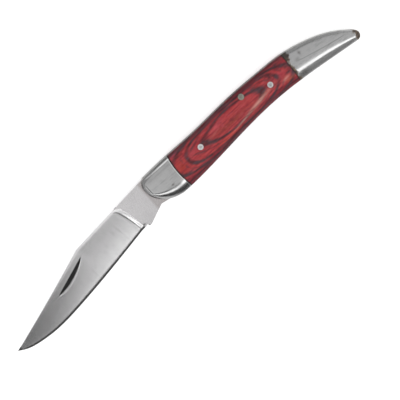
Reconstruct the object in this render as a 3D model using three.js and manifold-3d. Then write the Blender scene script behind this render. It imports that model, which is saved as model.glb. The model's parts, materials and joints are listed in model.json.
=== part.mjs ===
// Folding pocket knife of the slender slip-joint pattern: a clip blade on a pivot between two liners,
// held open and shut by a back spring, with metal bolsters and wooden scales on both sides.
// Millimetres. While it is built, the origin is the pivot, at mid thickness: +X runs to the tail,
// +Y to the back of the handle and +Z to the side of the blade that has the nail nick.
import * as THREE from 'three';
import { mergeVertices, toCreasedNormals } from 'three/addons/utils/BufferGeometryUtils.js';
import Module from 'manifold-3d';

const wasm = await Module();
wasm.setup();

// Handle, along X
const NOSE_TO_PIVOT = 6.4;
const FRONT_BOLSTER_LENGTH = 13.2;
const SCALE_LENGTH = 51.5;
const REAR_BOLSTER_LENGTH = 25.3;

// Handle, across: heights of the back and of the belly over the pivot line
const BACK_AT_NOSE = 5.9;
const BACK_OVER_PIVOT = 6.3;
const BACK_BEFORE_HUMP = 6.38;
const BACK_AT_HUMP = 7.08;
const BACK_AT_WAIST = 6.8;
const BACK_AT_REAR_BOLSTER = 6.28;
const BACK_AT_SLOPE = 3.95;
const BACK_AT_DROP = -0.05;
const BACK_AT_TAIL = -4.45;
const BELLY_AT_FRONT = -6.65;
const BELLY_AT_WAIST = -4.12;
const BELLY_AT_SLOPE = -5.82;
const BELLY_AT_TAIL = -7.75;
const HUMP_FROM_PIVOT = 38;
const WAIST_FROM_PIVOT = 49;
const SLOPE_TO_TAIL = 15;
const DROP_TO_TAIL = 6;
const NOSE_POINT_HEIGHT = 2.3;
const NOSE_RUN_BACK = 2.5;
const NOSE_RUN_BELLY = 11.5;
const TAIL_POINT_HEIGHT = -5.45;
const TAIL_RUN_BACK = 1.2;
const TAIL_RUN_BELLY = 2.2;

// Handle, through its thickness
const SLOT_WIDTH = 2.3;
const LINER_THICKNESS = 0.8;
const SCALE_THICKNESS = 2.9;
const SIDE_WALL_HEIGHT = 0.3;
const TAIL_CROWN_THICKNESS = 1.7;
const TAIL_WALL_HEIGHT = 0.3;
const COVER_TAPER_POWER = 1.6;
const CROWN_FLAT_WIDTH = 4.2;
const CROWN_FALL_POWER = 2.1;
const CROWN_FLAT_LIMIT = 0.33;
const NOSE_ROUND = 2.6;
const TAIL_ROUND = 2.2;

// Blade
const BLADE_REACH = 74.6;
const TIP_DROP = -9.55;
const SPINE_OVER_PIVOT = 6.33;
const SPINE_SLOPE = 0.0912;
const CLIP_START = 37;
const CLIP_HOLLOW = 0.28;
const EDGE_HEEL_DEPTH = -6.9;
const EDGE_MIDDLE_FROM_PIVOT = 49.9;
const EDGE_MIDDLE_DEPTH = -12.38;
const EDGE_BELLY_FROM_PIVOT = 60;
const EDGE_BELLY_DEPTH = -13.02;
const EDGE_RISE_FROM_PIVOT = 67;
const EDGE_RISE_DEPTH = -12.4;
const EDGE_POINT_FROM_PIVOT = 72.4;
const EDGE_POINT_DEPTH = -10.85;
const TIP_THICKNESS = 0.7;
const TIP_TAPER_POWER = 1.2;
const EDGE_LAND = 0.12;
const BEVEL_HEIGHT = 0.6;
const BEVEL_THICKNESS = 0.4;
const BEVEL_LIMIT = 0.25;
const BEVEL_SHARE_AT_TIP = 0.7;
const SPINE_STRIP = 1;
const SPINE_STRIP_LIMIT = 0.3;
const HOLLOW_POWER = 1.5;
const PLUNGE_FROM_PIVOT = 14.7;
const PLUNGE_SWEEP = 2.8;
const PLUNGE_SWEEP_POWER = 1.5;
const PLUNGE_CURL = 1.4;
const PLUNGE_CURL_START = 0.85;
const PLUNGE_FADE_POWER = 4;
const GRIND_INSIDE_TANG = 1;
const TANG_INSIDE_GRIND = 0.5;
const PLUNGE_WIDTH_HEEL = 1.4;
const PLUNGE_WIDTH_SPINE = 2.2;

// Nail nick, on one side of the blade
const NICK_FROM_PIVOT = 37.4;
const NICK_LENGTH = 14.4;
const NICK_WIDTH = 1.6;
const NICK_DEPTH = 0.5;
const NICK_BELOW_SPINE = 2.5;
const NICK_END_TRIM = 0.01;

// Tang and spring
const FOLD_DEGREES = 168;
const BEARING_HEIGHT = 4.8;
const CAM_RISE = 0.5;
const CLOSED_FACE_FRONT = 2.6;
const NOTCH_FROM_PIVOT = 3.7;
const KICK_FROM_PIVOT = 13.7;
const KICK_WIDTH = 0.9;
const CHOIL_DIAMETER = 1.1;
const TANG_RELIEF_FROM_PIVOT = 4.95;
const TANG_RELIEF_DEPTH = -4.6;
const SPRING_ARM_LENGTH = 29;
const SPRING_SWELL_RUN = 6;
const EDGE_GAP = 0.6;
const TIP_SWEEP_ANGLE = 0.1;
const POCKET_DEPTH = 23;
const POCKET_HEIGHT = 15;

// Pins
const PIVOT_PIN_DIAMETER = 2.8;
const SPRING_PIN_DIAMETER = 2.2;
const SPRING_PIN_FROM_PIVOT = 39;
const SPRING_PIN_HEIGHT = 4.9;
const END_PIN_DIAMETER = 2;
const END_PIN_FROM_SCALE = 5.3;
const END_PIN_HEIGHT = 2.9;
const SCALE_PIN_DIAMETER = 2.1;
const FRONT_SCALE_PIN_FROM_PIVOT = 17.6;
const REAR_SCALE_PIN_FROM_PIVOT = 49.1;
const SCALE_PIN_HEIGHT = 1.4;
const BOLSTER_PIN_DIAMETER = 1.2;
const FRONT_BOLSTER_PIN_FROM_PIVOT = 3.6;
const FRONT_BOLSTER_PIN_HEIGHT = -2.6;
const REAR_BOLSTER_PIN_FROM_SCALE = 13.2;
const REAR_BOLSTER_PIN_HEIGHT = -2.4;

// Clearances
const BLADE_SIDE_CLEARANCE = 0.05;
const PIVOT_CLEARANCE = 0.04;
const PIN_CLEARANCE = 0.02;
const BEARING_CLEARANCE = 0.02;
const NOSE_CLEARANCE = 0.1;
const PIN_SINK = 0.02;
const CUT_OVERSHOOT = 1;

// Facets
const STATION_STEP = 3.2;
const ROUND_STEPS = 6;
const CROWN_STEPS = 5;
const BLADE_STATIONS = 20;
const HOLLOW_STEPS = 5;
const PLUNGE_STEPS = 3;
const NICK_STEPS = 12;
const POCKET_STEPS = 24;
const SWEEP_STEPS = 3;
const CREASE_ANGLE = 0.5;
const PIN_SEGMENTS = 28;
const CAM_STEPS = 14;

// Places worked out from the sizes
const noseX = -NOSE_TO_PIVOT;
const scaleFrontX = noseX + FRONT_BOLSTER_LENGTH;
const scaleRearX = scaleFrontX + SCALE_LENGTH;
const tailX = scaleRearX + REAR_BOLSTER_LENGTH;
const slopeX = tailX - SLOPE_TO_TAIL;
const dropX = tailX - DROP_TO_TAIL;
const linerInner = SLOT_WIDTH / 2;
const linerOuter = linerInner + LINER_THICKNESS;
const bladeHalf = linerInner - BLADE_SIDE_CLEARANCE;
const fold = THREE.MathUtils.degToRad(FOLD_DEGREES);
const tip = new THREE.Vector2(-BLADE_REACH, TIP_DROP);

const { lerp, clamp, smoothstep } = THREE.MathUtils;

// Natural cubic curve y(x) through a few points given in order of x
function curveThrough(points) {
  const n = points.length;
  const bend = new Array(n).fill(0);
  const carry = new Array(n).fill(0);
  for (let i = 1; i < n - 1; i += 1) {
    const before = points[i][0] - points[i - 1][0];
    const after = points[i + 1][0] - points[i][0];
    const turn = (points[i + 1][1] - points[i][1]) / after - (points[i][1] - points[i - 1][1]) / before;
    const pivot = 2 * (before + after) - before * carry[i - 1];
    carry[i] = after / pivot;
    bend[i] = (6 * turn - before * bend[i - 1]) / pivot;
  }
  for (let i = n - 2; i > 0; i -= 1) {
    bend[i] -= carry[i] * bend[i + 1];
  }
  return (x) => {
    let i = 0;
    while (i < n - 2 && x > points[i + 1][0]) {
      i += 1;
    }
    const width = points[i + 1][0] - points[i][0];
    const t = (x - points[i][0]) / width;
    const sag = ((1 - t) ** 3 - (1 - t)) * bend[i] + (t ** 3 - t) * bend[i + 1];
    return lerp(points[i][1], points[i + 1][1], t) + (sag * width * width) / 6;
  };
}

// Quarter ellipse from 0 at a distance of 0 to 1 at the end of the run
function roundOff(distance, run) {
  const left = clamp(1 - distance / run, 0, 1);
  return Math.sqrt(1 - left * left);
}

const backCurve = curveThrough([
  [noseX, BACK_AT_NOSE],
  [0, BACK_OVER_PIVOT],
  [HUMP_FROM_PIVOT / 2, BACK_BEFORE_HUMP],
  [HUMP_FROM_PIVOT, BACK_AT_HUMP],
  [WAIST_FROM_PIVOT, BACK_AT_WAIST],
  [scaleRearX, BACK_AT_REAR_BOLSTER],
  [slopeX, BACK_AT_SLOPE],
  [dropX, BACK_AT_DROP],
  [tailX, BACK_AT_TAIL],
]);
const bellyCurve = curveThrough([
  [noseX, BELLY_AT_FRONT],
  [scaleFrontX, BELLY_AT_FRONT],
  [WAIST_FROM_PIVOT, BELLY_AT_WAIST],
  [slopeX, BELLY_AT_SLOPE],
  [tailX, BELLY_AT_TAIL],
]);

// Back and belly of the handle, both run into a rounded nose and a rounded tail
function handleEdges(x) {
  const ends = (run, noseHeight, tailHeight, y) => {
    const atNose = lerp(noseHeight, y, roundOff(x - noseX, run[0]));
    return lerp(tailHeight, atNose, roundOff(tailX - x, run[1]));
  };
  return {
    back: ends([NOSE_RUN_BACK, TAIL_RUN_BACK], NOSE_POINT_HEIGHT, TAIL_POINT_HEIGHT, backCurve(x)),
    belly: ends([NOSE_RUN_BELLY, TAIL_RUN_BELLY], NOSE_POINT_HEIGHT, TAIL_POINT_HEIGHT, bellyCurve(x)),
  };
}

// Stations along X, close together where an end is round
function stations(from, to) {
  const xs = [from];
  const addRound = (end, run, sign) => {
    for (let i = 1; i <= ROUND_STEPS; i += 1) {
      const x = end + sign * run * (1 - Math.cos((i / ROUND_STEPS) * (Math.PI / 2)));
      if (x > from && x < to) {
        xs.push(x);
      }
    }
  };
  addRound(noseX, NOSE_RUN_BACK, 1);
  addRound(tailX, TAIL_RUN_BELLY, -1);
  const steps = Math.ceil((to - from) / STATION_STEP);
  for (let i = 1; i < steps; i += 1) {
    const x = lerp(from, to, i / steps);
    const inRound = x < noseX + NOSE_RUN_BACK || x > tailX - TAIL_RUN_BELLY;
    if (!inRound) {
      xs.push(x);
    }
  }
  xs.push(to);
  return xs.sort((a, b) => a - b);
}

// A closed skin over rings of equal, even length. Each end is closed by strips between its two halves.
function loft(rings) {
  const count = rings[0].length;
  const positions = rings.flat().flatMap((p) => [p.x, p.y, p.z]);
  const index = [];
  for (let r = 0; r < rings.length - 1; r += 1) {
    for (let i = 0; i < count; i += 1) {
      const a = r * count + i;
      const b = r * count + ((i + 1) % count);
      index.push(a, b, b + count, a, b + count, a + count);
    }
  }
  const last = (rings.length - 1) * count;
  for (let i = 0; i < count / 2 - 1; i += 1) {
    const [a, b, c, d] = [i, i + 1, count - 2 - i, count - 1 - i];
    index.push(a, c, b, a, d, c);
    index.push(last + a, last + b, last + c, last + a, last + c, last + d);
  }
  const geometry = new THREE.BufferGeometry();
  geometry.setAttribute('position', new THREE.Float32BufferAttribute(positions, 3));
  geometry.setIndex(index);
  return geometry;
}

// Merged vertices, without the triangles that merging leaves flat
function welded(geometry) {
  const bare = geometry.clone();
  bare.deleteAttribute('normal');
  bare.deleteAttribute('uv');
  const merged = mergeVertices(bare, 1e-5);
  const source = merged.index.array;
  const kept = [];
  for (let i = 0; i < source.length; i += 3) {
    const [a, b, c] = source.slice(i, i + 3);
    if (a !== b && b !== c && c !== a) {
      kept.push(a, b, c);
    }
  }
  merged.setIndex(kept);
  return merged;
}

function solid(geometry) {
  const merged = welded(geometry);
  return new wasm.Manifold(
    new wasm.Mesh({
      numProp: 3,
      vertProperties: new Float32Array(merged.attributes.position.array),
      triVerts: new Uint32Array(merged.index.array),
    }),
  );
}

function geometryOf(manifold) {
  const mesh = manifold.getMesh();
  const geometry = new THREE.BufferGeometry();
  geometry.setAttribute('position', new THREE.BufferAttribute(mesh.vertProperties, 3));
  geometry.setIndex(new THREE.BufferAttribute(mesh.triVerts, 1));
  return geometry;
}

// The same form on the other side of the middle plane
function mirrored(geometry) {
  const copy = geometry.clone().scale(1, 1, -1);
  const index = copy.index.array;
  for (let i = 0; i < index.length; i += 3) {
    [index[i + 1], index[i + 2]] = [index[i + 2], index[i + 1]];
  }
  return copy;
}

function plate(points, bottom, top) {
  const geometry = new THREE.ExtrudeGeometry(new THREE.Shape(points), {
    depth: top - bottom,
    bevelEnabled: false,
  });
  return geometry.translate(0, 0, bottom);
}

function rod(x, y, diameter, bottom, top) {
  const geometry = new THREE.CylinderGeometry(diameter / 2, diameter / 2, top - bottom, PIN_SEGMENTS);
  return geometry.rotateX(Math.PI / 2).translate(x, y, (bottom + top) / 2);
}

// Crown and side wall of the cover pieces at a station, both thinner toward the tail
function coverHeights(x, sink) {
  const taper = clamp((x - scaleRearX) / REAR_BOLSTER_LENGTH, 0, 1) ** COVER_TAPER_POWER;
  const wall = lerp(SIDE_WALL_HEIGHT, TAIL_WALL_HEIGHT, taper);
  const crown = lerp(SCALE_THICKNESS, TAIL_CROWN_THICKNESS, taper);
  const rounding = roundOff(x - noseX, NOSE_ROUND) * roundOff(tailX - x, TAIL_ROUND);
  return { wall: wall - sink, crown: lerp(wall, crown, rounding) - sink };
}

// Cover piece over part of the handle: flat inside, side walls, and a crown with a flat along its top
function cover(from, to, bottom, sink) {
  const rings = stations(from, to).map((x) => {
    const { back, belly } = handleEdges(x);
    const { wall, crown } = coverHeights(x, sink);
    const middle = (back + belly) / 2;
    const half = (back - belly) / 2;
    const flat = Math.min(CROWN_FLAT_WIDTH / 2, half * CROWN_FLAT_LIMIT);
    const ring = [new THREE.Vector3(x, belly, bottom), new THREE.Vector3(x, back, bottom)];
    for (let i = 0; i <= CROWN_STEPS * 2 + 1; i += 1) {
      const onBack = i <= CROWN_STEPS;
      const share = (onBack ? CROWN_STEPS - i : i - CROWN_STEPS - 1) / CROWN_STEPS;
      const across = lerp(flat, half, share);
      const rise = lerp(crown, wall, share ** CROWN_FALL_POWER);
      ring.push(new THREE.Vector3(x, middle + (onBack ? across : -across), linerOuter + rise));
    }
    return ring;
  });
  return loft(rings);
}

// The outline that the liners and the spring share
function handleOutline() {
  const xs = stations(noseX, tailX);
  const back = xs.map((x) => new THREE.Vector2(x, handleEdges(x).back));
  const belly = xs.slice(1, -1).map((x) => new THREE.Vector2(x, handleEdges(x).belly));
  return [...back, ...belly.reverse()];
}

// Blade outline: the spine falls in a straight line to the clip, which sags a little to the tip
function spineHeight(x) {
  const clipY = SPINE_OVER_PIVOT - SPINE_SLOPE * CLIP_START;
  if (x > -CLIP_START) {
    return SPINE_OVER_PIVOT + SPINE_SLOPE * x;
  }
  const t = (-CLIP_START - x) / (BLADE_REACH - CLIP_START);
  return lerp(clipY, TIP_DROP, t) - CLIP_HOLLOW * 4 * t * (1 - t);
}

const edgeDepth = curveThrough([
  [-BLADE_REACH, TIP_DROP],
  [-EDGE_POINT_FROM_PIVOT, EDGE_POINT_DEPTH],
  [-EDGE_RISE_FROM_PIVOT, EDGE_RISE_DEPTH],
  [-EDGE_BELLY_FROM_PIVOT, EDGE_BELLY_DEPTH],
  [-EDGE_MIDDLE_FROM_PIVOT, EDGE_MIDDLE_DEPTH],
  [-PLUNGE_FROM_PIVOT, EDGE_HEEL_DEPTH],
]);

// Where the grind starts, q being 0 at the edge and 1 at the spine
function plungeLine(q) {
  const curl = PLUNGE_CURL * clamp((q - PLUNGE_CURL_START) / (1 - PLUNGE_CURL_START), 0, 1) ** 2;
  return -PLUNGE_FROM_PIVOT - PLUNGE_SWEEP * q ** PLUNGE_SWEEP_POWER - curl;
}

function plungeWidth(q) {
  return lerp(PLUNGE_WIDTH_HEEL, PLUNGE_WIDTH_SPINE, q);
}

// Half thickness of the spine strip, thinner from the clip to the tip
function spineHalf(x) {
  const t = clamp((-CLIP_START - x) / (BLADE_REACH - CLIP_START), 0, 1);
  return lerp(bladeHalf, TIP_THICKNESS / 2, t ** TIP_TAPER_POWER);
}

// Levels from the edge to the spine on a line of that length, each with its share of the hollow
function grindLevels(length) {
  const bevelTop = Math.min(BEVEL_HEIGHT / length, BEVEL_LIMIT);
  const hollowTop = 1 - Math.min(SPINE_STRIP / length, SPINE_STRIP_LIMIT);
  const levels = [{ q: 0, part: -1 }];
  for (let i = 0; i <= HOLLOW_STEPS; i += 1) {
    const part = i / HOLLOW_STEPS;
    levels.push({ q: lerp(bevelTop, hollowTop, part), part });
  }
  levels.push({ q: 1, part: 1 });
  return levels;
}

function groundHalf(x, part) {
  if (part < 0) {
    return EDGE_LAND / 2;
  }
  const bevel = Math.min(BEVEL_THICKNESS / 2, spineHalf(x) * BEVEL_SHARE_AT_TIP);
  return lerp(bevel, spineHalf(x), part ** HOLLOW_POWER);
}

// Half thickness at a distance below the spine
function faceHalf(x, below) {
  const length = spineHeight(x) - edgeDepth(x);
  const levels = grindLevels(length);
  const [first, last] = [levels[1].q, levels[levels.length - 2].q];
  return groundHalf(x, clamp((1 - below / length - first) / (last - first), 0, 1));
}

// The ground part of the blade, from just behind the plunge to the tip
function groundBlade() {
  const rings = [];
  const addRing = (points) => {
    const far = points.map((p) => new THREE.Vector3(p.x, p.y, -p.half)).reverse();
    rings.push([...points.map((p) => new THREE.Vector3(p.x, p.y, p.half)), ...far]);
  };
  const heel = edgeDepth(plungeLine(0));
  const plungeLength = spineHeight(plungeLine(1)) - heel;
  for (let k = -1; k <= PLUNGE_STEPS; k += 1) {
    const along = Math.max(k / PLUNGE_STEPS, 0);
    const inside = k < 0 ? GRIND_INSIDE_TANG : 0;
    const drop = smoothstep(along, 0, 1);
    const edgeY = edgeDepth(plungeLine(0) - plungeWidth(0) * along);
    addRing(
      grindLevels(plungeLength).map(({ q, part }) => {
        const x = plungeLine(q) - plungeWidth(q) * along + inside;
        const y = lerp(edgeY, spineHeight(x), q);
        return { x, y, half: lerp(bladeHalf, groundHalf(x, part), drop) };
      }),
    );
  }
  const innerLine = (q) => plungeLine(q) - plungeWidth(q);
  for (let i = 1; i <= BLADE_STATIONS; i += 1) {
    const t = i / BLADE_STATIONS;
    const edgeX = lerp(innerLine(0), -BLADE_REACH, t);
    const spineX = lerp(innerLine(1), -BLADE_REACH, t);
    const edgeY = edgeDepth(edgeX);
    const spineY = spineHeight(spineX);
    const length = Math.max(Math.hypot(spineX - edgeX, spineY - edgeY), BEVEL_HEIGHT);
    addRing(
      grindLevels(length).map(({ q, part }) => {
        const straight = lerp(edgeX, spineX, q);
        const bow = innerLine(q) - lerp(innerLine(0), innerLine(1), q);
        const x = straight + bow * (1 - t) ** PLUNGE_FADE_POWER;
        return { x, y: lerp(edgeY, spineY, q), half: groundHalf(x, part) };
      }),
    );
  }
  return loft(rings);
}

// A point that lies at (x, y) when the blade is shut, given where it lies when it is open
function openFromShut(x, y) {
  return new THREE.Vector2(x, y).rotateAround(new THREE.Vector2(0, 0), -fold);
}

function shutFromOpen(x, y) {
  return new THREE.Vector2(x, y).rotateAround(new THREE.Vector2(0, 0), fold);
}

// Tang: notch for the spring, flat for open, round cam, flat for shut, relief, kick and heel
function tangOutline() {
  const level = BEARING_HEIGHT - BEARING_CLEARANCE;
  const camRadius = BEARING_HEIGHT + CAM_RISE;
  const corner = Math.sqrt(camRadius * camRadius - level * level);
  const startX = plungeLine(1);
  const points = [new THREE.Vector2(startX, spineHeight(startX))];
  const heelX = plungeLine(0);
  const plungeLevels = grindLevels(spineHeight(startX) - edgeDepth(heelX));
  const notchX = -NOTCH_FROM_PIVOT;
  const kick = openFromShut(KICK_FROM_PIVOT, level);
  const kickBack = openFromShut(KICK_FROM_PIVOT - KICK_WIDTH, level);
  const lineEnd = openFromShut(-corner, level);
  const lineStart = openFromShut(CLOSED_FACE_FRONT, level);
  const from = lineEnd.angle() - Math.PI * 2;
  const to = Math.atan2(level, corner);
  plungeLevels
    .slice(1, -1)
    .reverse()
    .forEach(({ q }) => {
      const x = plungeLine(q) + TANG_INSIDE_GRIND;
      points.push(new THREE.Vector2(x, lerp(edgeDepth(heelX), spineHeight(x), q)));
    });
  points.push(new THREE.Vector2(heelX, edgeDepth(heelX)));
  points.push(new THREE.Vector2(kick.x, kick.y), new THREE.Vector2(kickBack.x, kickBack.y));
  points.push(new THREE.Vector2(-TANG_RELIEF_FROM_PIVOT, TANG_RELIEF_DEPTH));
  points.push(lineStart);
  for (let i = 0; i <= CAM_STEPS; i += 1) {
    const angle = lerp(from, to, i / CAM_STEPS);
    points.push(new THREE.Vector2(camRadius * Math.cos(angle), camRadius * Math.sin(angle)));
  }
  points.push(new THREE.Vector2(notchX, level));
  points.push(new THREE.Vector2(notchX, spineHeight(notchX)));
  return points;
}

// Crescent cut for a fingernail: a steep upper wall and a face that rises to the blade's surface
function nailNick() {
  const above = bladeHalf + CUT_OVERSHOOT / 2;
  const startX = -NICK_FROM_PIVOT;
  const endX = startX - NICK_LENGTH;
  const start = new THREE.Vector2(startX, spineHeight(startX) - NICK_BELOW_SPINE);
  const end = new THREE.Vector2(endX, spineHeight(endX) - NICK_BELOW_SPINE);
  const down = new THREE.Vector2(end.y - start.y, start.x - end.x).normalize().negate();
  const rings = [];
  for (let i = 0; i <= NICK_STEPS; i += 1) {
    const t = lerp(NICK_END_TRIM, 1 - NICK_END_TRIM, i / NICK_STEPS);
    const swell = 4 * t * (1 - t);
    const upper = start.clone().lerp(end, t);
    const lower = upper.clone().addScaledVector(down, NICK_WIDTH * swell);
    const surface = faceHalf(upper.x, NICK_BELOW_SPINE);
    const bottom = surface - NICK_DEPTH * swell;
    const reach = (above - bottom) / (surface - bottom);
    const out = upper.clone().lerp(lower, reach);
    rings.push([
      new THREE.Vector3(upper.x, upper.y, above),
      new THREE.Vector3(upper.x, upper.y, bottom),
      new THREE.Vector3(lower.x, lower.y, surface),
      new THREE.Vector3(out.x, out.y, above),
    ]);
  }
  return loft(rings);
}

const throughAll = linerOuter + SCALE_THICKNESS + CUT_OVERSHOOT;

function bladeGeometry() {
  const tang = solid(plate(tangOutline(), -bladeHalf, bladeHalf));
  const bore = PIVOT_PIN_DIAMETER + 2 * PIVOT_CLEARANCE;
  const heel = new THREE.Vector2(plungeLine(0), edgeDepth(plungeLine(0)));
  const choil = heel.lerp(openFromShut(KICK_FROM_PIVOT, BEARING_HEIGHT), 0.5);
  return geometryOf(
    tang
      .add(solid(groundBlade()))
      .subtract(solid(nailNick()))
      .subtract(solid(rod(choil.x, choil.y, CHOIL_DIAMETER, -throughAll, throughAll)))
      .subtract(solid(rod(0, 0, bore, -throughAll, throughAll))),
  );
}

// The space that the shut blade needs under the spring, and the end wall that its tip sweeps past
function pocketOutline() {
  const points = [new THREE.Vector2(-BLADE_REACH, -POCKET_DEPTH)];
  points.push(new THREE.Vector2(-BLADE_REACH, POCKET_HEIGHT));
  points.push(new THREE.Vector2(-NOTCH_FROM_PIVOT + NOSE_CLEARANCE, POCKET_HEIGHT));
  points.push(new THREE.Vector2(-NOTCH_FROM_PIVOT + NOSE_CLEARANCE, BEARING_HEIGHT));
  points.push(new THREE.Vector2(SPRING_ARM_LENGTH, BEARING_HEIGHT));
  for (let i = 1; i <= POCKET_STEPS; i += 1) {
    const x = lerp(-SPRING_ARM_LENGTH, -BLADE_REACH, i / POCKET_STEPS);
    const shut = shutFromOpen(x, edgeDepth(x));
    const swell = smoothstep(shut.x, SPRING_ARM_LENGTH, SPRING_ARM_LENGTH + SPRING_SWELL_RUN);
    points.push(new THREE.Vector2(shut.x, lerp(BEARING_HEIGHT, shut.y + EDGE_GAP, swell)));
  }
  const shutTip = shutFromOpen(tip.x, tip.y);
  const sweep = shutTip.length() + EDGE_GAP;
  const first = shutTip.angle() - Math.PI * 2;
  for (let i = 0; i <= SWEEP_STEPS; i += 1) {
    const angle = first - (i / SWEEP_STEPS) * TIP_SWEEP_ANGLE;
    points.push(new THREE.Vector2(sweep * Math.cos(angle), sweep * Math.sin(angle)));
  }
  points.push(new THREE.Vector2(sweep * Math.cos(first - TIP_SWEEP_ANGLE), -POCKET_DEPTH));
  return points;
}

const scalePins = [
  { name: 'front', x: FRONT_SCALE_PIN_FROM_PIVOT },
  { name: 'rear', x: REAR_SCALE_PIN_FROM_PIVOT },
].map((pin) => ({ ...pin, y: SCALE_PIN_HEIGHT, diameter: SCALE_PIN_DIAMETER }));
const pivotPin = { x: 0, y: 0, diameter: PIVOT_PIN_DIAMETER };
const springPin = { x: SPRING_PIN_FROM_PIVOT, y: SPRING_PIN_HEIGHT, diameter: SPRING_PIN_DIAMETER };
const endPin = { x: scaleRearX + END_PIN_FROM_SCALE, y: END_PIN_HEIGHT, diameter: END_PIN_DIAMETER };
const bolsterPins = [
  { name: 'front', x: FRONT_BOLSTER_PIN_FROM_PIVOT, y: FRONT_BOLSTER_PIN_HEIGHT },
  { name: 'rear', x: scaleRearX + REAR_BOLSTER_PIN_FROM_SCALE, y: REAR_BOLSTER_PIN_HEIGHT },
].map((pin) => ({ ...pin, diameter: BOLSTER_PIN_DIAMETER }));

// A solid with a hole for each pin
function pierced(geometry, pins) {
  return pins.reduce(
    (body, pin) =>
      body.subtract(solid(rod(pin.x, pin.y, pin.diameter + 2 * PIN_CLEARANCE, -throughAll, throughAll))),
    solid(geometry),
  );
}

// Part of a pin on the +Z side, its end filed flush with the cover that it comes out of
function flushPin(pin, bottom, from, to) {
  const body = solid(rod(pin.x, pin.y, pin.diameter, bottom, throughAll));
  return body.intersect(solid(cover(from, to, bottom - CUT_OVERSHOOT, PIN_SINK)));
}

function throughPin(pin, from, to) {
  const upper = geometryOf(flushPin(pin, -linerInner / 2, from, to));
  return geometryOf(solid(upper).add(solid(mirrored(upper))));
}

const front = [noseX, scaleFrontX];
const middle = [scaleFrontX, scaleRearX];
const rear = [scaleRearX, tailX];

const materials = {
  blade: { color: '#b4b3b1', roughness: 0.34, metalness: 0.95 },
  spring: { color: '#a3a19c', roughness: 0.36, metalness: 0.95 },
  liner: { color: '#b3a98f', roughness: 0.4, metalness: 0.9 },
  bolster: { color: '#b5b4b2', roughness: 0.22, metalness: 1 },
  wood: { color: '#8c2325', roughness: 0.38, metalness: 0 },
  pin: { color: '#c4c6c3', roughness: 0.28, metalness: 0.95 },
  brass: { color: '#a08a58', roughness: 0.32, metalness: 0.95 },
};

const knife = new THREE.Group();

function add(name, geometry, look) {
  const mesh = new THREE.Mesh(
    toCreasedNormals(geometry, CREASE_ANGLE),
    new THREE.MeshStandardMaterial(materials[look]),
  );
  mesh.name = name;
  knife.add(mesh);
}

add('blade', bladeGeometry(), 'blade');
const springBlank = pierced(plate(handleOutline(), -linerInner, linerInner), [springPin, endPin]);
const pocket = plate(pocketOutline(), -throughAll, throughAll);
add('back_spring', geometryOf(springBlank.subtract(solid(pocket))), 'spring');
add('pivot_pin', throughPin(pivotPin, ...front), 'pin');
add('spring_pin', throughPin(springPin, ...middle), 'brass');
add('end_pin', throughPin(endPin, ...rear), 'pin');

const upperPieces = [
  ['liner', pierced(plate(handleOutline(), linerInner, linerOuter),
    [pivotPin, springPin, endPin, ...scalePins, ...bolsterPins]), 'liner'],
  ['front_bolster', pierced(cover(...front, linerOuter, 0), [pivotPin, bolsterPins[0]]), 'bolster'],
  ['scale', pierced(cover(...middle, linerOuter, 0), [springPin, ...scalePins]), 'wood'],
  ['rear_bolster', pierced(cover(...rear, linerOuter, 0), [endPin, bolsterPins[1]]), 'bolster'],
  ...scalePins.map((pin) => [`scale_pin_${pin.name}`, flushPin(pin, linerInner, ...middle), 'pin']),
  ['bolster_pin_front', flushPin(bolsterPins[0], linerInner, ...front), 'pin'],
  ['bolster_pin_rear', flushPin(bolsterPins[1], linerInner, ...rear), 'pin'],
];
upperPieces.forEach(([name, body, look]) => {
  const geometry = geometryOf(body);
  add(`${name}_mark`, geometry, look);
  add(`${name}_reverse`, mirrored(geometry), look);
});

// The finished knife lies on its reverse side, its origin under the middle of its outline
const bounds = new THREE.Box3().setFromObject(knife);
const centre = bounds.getCenter(new THREE.Vector3());
knife.position.set(-centre.x, -centre.y, -bounds.min.z);

export default knife;
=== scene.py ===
"""Looks of a slender folding pocket knife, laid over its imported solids."""
import json
import math
from functools import reduce

import bmesh
import bpy
import numpy as np
from bpy.props import FloatProperty, FloatVectorProperty, PointerProperty
from mathutils import Matrix, Vector


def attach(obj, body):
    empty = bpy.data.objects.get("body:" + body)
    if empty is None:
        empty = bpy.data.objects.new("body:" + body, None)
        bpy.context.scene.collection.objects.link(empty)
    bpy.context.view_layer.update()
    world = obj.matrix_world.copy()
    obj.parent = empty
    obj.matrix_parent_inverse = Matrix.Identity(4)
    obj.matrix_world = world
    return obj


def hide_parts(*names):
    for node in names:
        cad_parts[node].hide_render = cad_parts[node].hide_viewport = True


bl_info = {
    "name": "Folding pocket knife",
    "version": (1, 0, 0),
    "blender": (4, 5, 0),
    "location": "3D View > Sidebar > Knife",
    "description": "Blade, bolsters, wooden scales, pins and studio for a folding pocket knife",
    "category": "Object",
}

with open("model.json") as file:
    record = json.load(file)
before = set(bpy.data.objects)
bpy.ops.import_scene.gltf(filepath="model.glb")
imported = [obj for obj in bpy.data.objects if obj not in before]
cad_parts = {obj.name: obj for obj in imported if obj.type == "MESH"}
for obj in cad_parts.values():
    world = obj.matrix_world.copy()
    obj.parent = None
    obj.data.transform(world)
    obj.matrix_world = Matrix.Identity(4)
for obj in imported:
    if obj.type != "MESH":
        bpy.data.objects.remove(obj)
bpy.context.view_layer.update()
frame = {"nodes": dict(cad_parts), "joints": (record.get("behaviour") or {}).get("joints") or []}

MM = 0.001
PIVOT = Vector(frame["joints"][0]["pos_m"])

# Points closer than this are one, and shorter edges are dropped, in metres
WELD = 1e-7
SHORT_EDGE = 1e-8

# The two sides as the nodes name them, and the direction of their outside: the first has the nail nick
SIDES = (("mark", 1), ("reverse", -1))

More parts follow.
